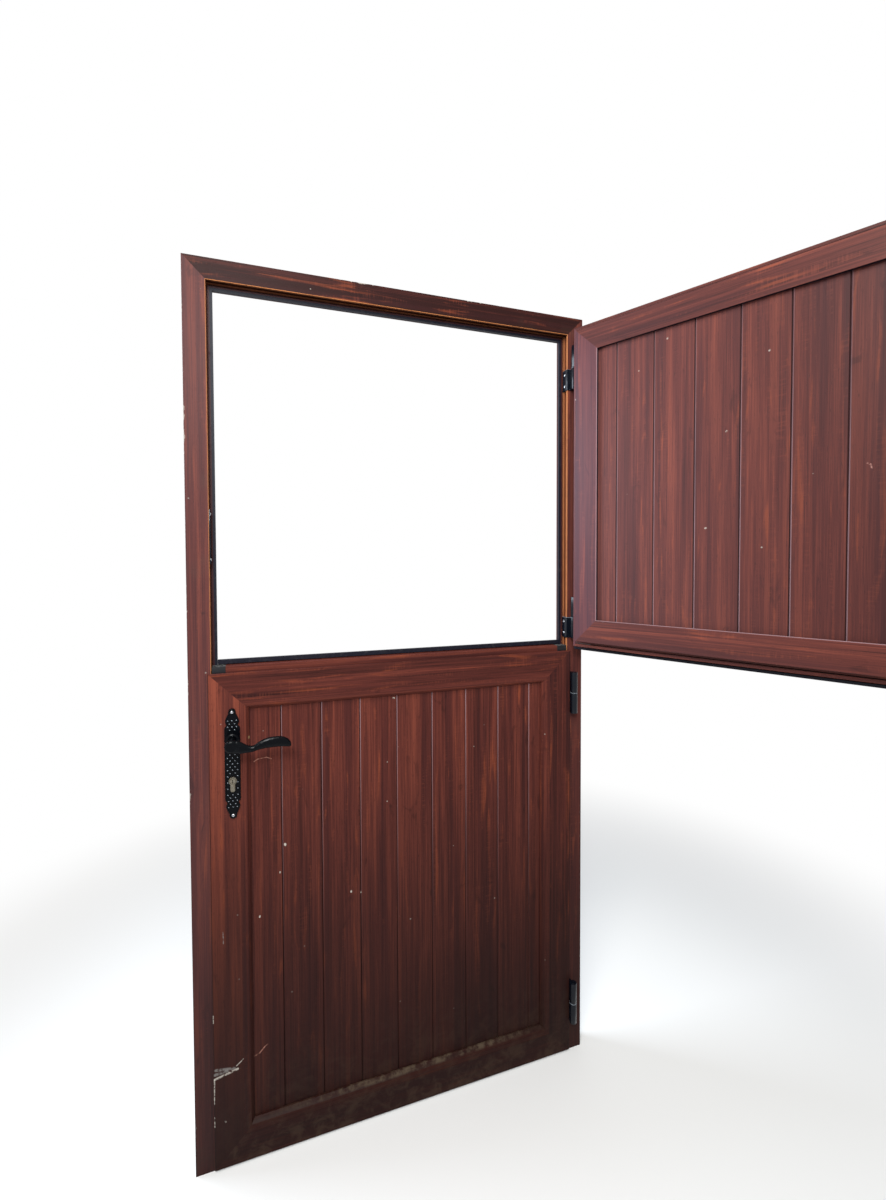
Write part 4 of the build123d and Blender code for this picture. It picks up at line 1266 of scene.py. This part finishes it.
class STABLEDOOR_OT_lock(bpy.types.Operator):
    """Make the cylinder with its keyed plug, and finish the faceplate and keepers"""

    bl_idname = "stabledoor.lock"
    bl_label = "Lock"

    def execute(self, context):
        edge = context.scene.stable_door_fittings.edge
        bright = finish_named("zinc_steel", steel)
        coat = finish_named("black_hinge_coat", black_coat)
        add_rounded("cylinder_shell", "cylinder_body", edge * 0.7, nickel(), "lower_leaf")
        tarnished_and_shaded = nickel("tarnished_plug", 0.5)
        add_piece("keyed_plug", self.plug(), tarnished_and_shaded, "plug", ("cylinder_plug",), 30.0)
        add_rounded("lock_face", "lock_faceplate", edge * 0.5, bright, "lower_leaf")
        for node in KEEPERS:
            add_rounded(f"{node}_plate", node, edge * 0.6, coat, "frame")
        self.screws()
        return {"FINISHED"}

    def plug(self):
        """The turning plug, with a keyway cut in each end."""
        front = PLUG_LOW.y
        back = PLUG_HIGH.y
        radius = PLUG_RADIUS
        cam = 0.0082
        cam_low = GROOVE_Y - 0.005
        cam_high = GROOVE_Y + 0.005
        shape = turned([
            (0, front + 0.0004), (0.0034, front + 0.0004), (0.0037, front), (radius - 0.0005, front),
            (radius, front + 0.0005), (radius, cam_low), (cam, cam_low), (cam, cam_high),
            (radius, cam_high), (radius, back - 0.0005), (radius - 0.0005, back), (0.0037, back),
            (0.0034, back - 0.0004), (0, back - 0.0004),
        ], 36)
        # the keyway's slot and its two side steps: X from and to, Z from and to, in millimetres
        steps = ((-0.6, 0.6, -4.6, 3.4), (-1.2, 0.2, 0.6, 2.2), (-0.2, 1.1, -3.4, -1.6))
        for low, high in ((front - 0.001, front + 0.004), (back - 0.004, back + 0.001)):
            for left, right, foot, top in steps:
                tool = brick((left * MM, low, foot * MM), (right * MM, high, top * MM))
                shape = carved(shape, tool)
        bmesh.ops.translate(shape, verts=shape.verts, vec=(LOCK_X, 0, CYLINDER_Z))
        return shape

    def screws(self):
        """Screws of the keepers and the faceplate, and the one that holds the cylinder."""
        radius, rise = 0.0036, 0.0012
        spots = []
        for low, high in (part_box(node) for node in KEEPERS):
            for z in (low.z + 0.010, high.z - 0.010):
                spots.append((Vector((high.x + 0.0002, GROOVE_Y, z)), (1, 0, 0)))
        add_screws("keeper_screws", spots, "frame", radius, rise)
        low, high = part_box("lock_faceplate")
        heights = (low.z + 0.009, high.z - 0.009, CYLINDER_Z - 0.015)
        spots = [(Vector((low.x - 0.0001, GROOVE_Y, z)), (-1, 0, 0)) for z in heights]
        add_screws("faceplate_screws", spots, "lower_leaf", radius, rise)


class STABLEDOOR_OT_caps(bpy.types.Operator):
    """Round the meeting rail's end caps and give them their black plastic"""

    bl_idname = "stabledoor.caps"
    bl_label = "Meeting rail caps"

    def execute(self, context):
        edge = context.scene.stable_door_fittings.edge
        add_rounded(
            "rail_end_caps", "meeting_rail_caps", edge * 1.6, plastic(), "lower_leaf",
            3,
        )
        return {"FINISHED"}


class STABLEDOOR_OT_knob(bpy.types.Operator):
    """Round the upper leaf's knob and base and set their screws"""

    bl_idname = "stabledoor.knob"
    bl_label = "Upper knob"

    def execute(self, context):
        edge = context.scene.stable_door_fittings.edge
        coat = finish_named("black_hinge_coat", black_coat)
        for name, node, body in (
            ("knob_base", "upper_knob_base", "upper_leaf"), ("knob_grip", "upper_knob", "upper_knob"),
        ):
            add_rounded(name, node, edge * 2, coat, body, 3)
        way = OPENED.to_3x3() @ Vector((0, -1, 0))
        base_face = LEAF_ROOM - 0.0061
        spots = [(OPENED @ Vector((KNOB_X, base_face, KNOB_Z + up)), way) for up in (-0.022, 0.022)]
        add_screws("knob_screws", spots, "upper_leaf", 0.0033, 0.0012)
        return {"FINISHED"}


class STABLEDOOR_PT_panel(bpy.types.Panel):
    """Lists the steps that dress the door"""

    bl_idname = "STABLEDOOR_PT_panel"
    bl_label = "Stable door"
    bl_space_type = "VIEW_3D"
    bl_region_type = "UI"
    bl_category = "Stable door"

    def draw(self, context):
        for step in STEPS:
            self.layout.operator(step.bl_idname)
        for group in SETTINGS:
            box = self.layout.box()
            settings = getattr(context.scene, group)
            for name in settings.__annotations__:
                box.prop(settings, name)


SETTINGS = {
    "stable_door_film": StableDoorFilm,
    "stable_door_fittings": StableDoorFittings,
    "stable_door_stage": StableDoorStage,
}
STEPS = (
    STABLEDOOR_OT_stage,
    STABLEDOOR_OT_film,
    STABLEDOOR_OT_gaskets,
    STABLEDOOR_OT_hinges,
    STABLEDOOR_OT_plates,
    STABLEDOOR_OT_levers,
    STABLEDOOR_OT_lock,
    STABLEDOOR_OT_caps,
    STABLEDOOR_OT_knob,
)
CLASSES = (*SETTINGS.values(), *STEPS, STABLEDOOR_PT_panel)


def register():
    for made in CLASSES:
        bpy.utils.register_class(made)
    for name, group in SETTINGS.items():
        setattr(bpy.types.Scene, name, PointerProperty(type=group))


def unregister():
    for name in SETTINGS:
        delattr(bpy.types.Scene, name)
    for made in reversed(CLASSES):
        bpy.utils.unregister_class(made)


def main():
    register()
    bpy.ops.stabledoor.stage()
    bpy.ops.stabledoor.film()
    bpy.ops.stabledoor.gaskets()
    bpy.ops.stabledoor.hinges()
    bpy.ops.stabledoor.plates()
    bpy.ops.stabledoor.levers()
    bpy.ops.stabledoor.lock()
    bpy.ops.stabledoor.caps()
    bpy.ops.stabledoor.knob()


if __name__ == "__main__":
    main()
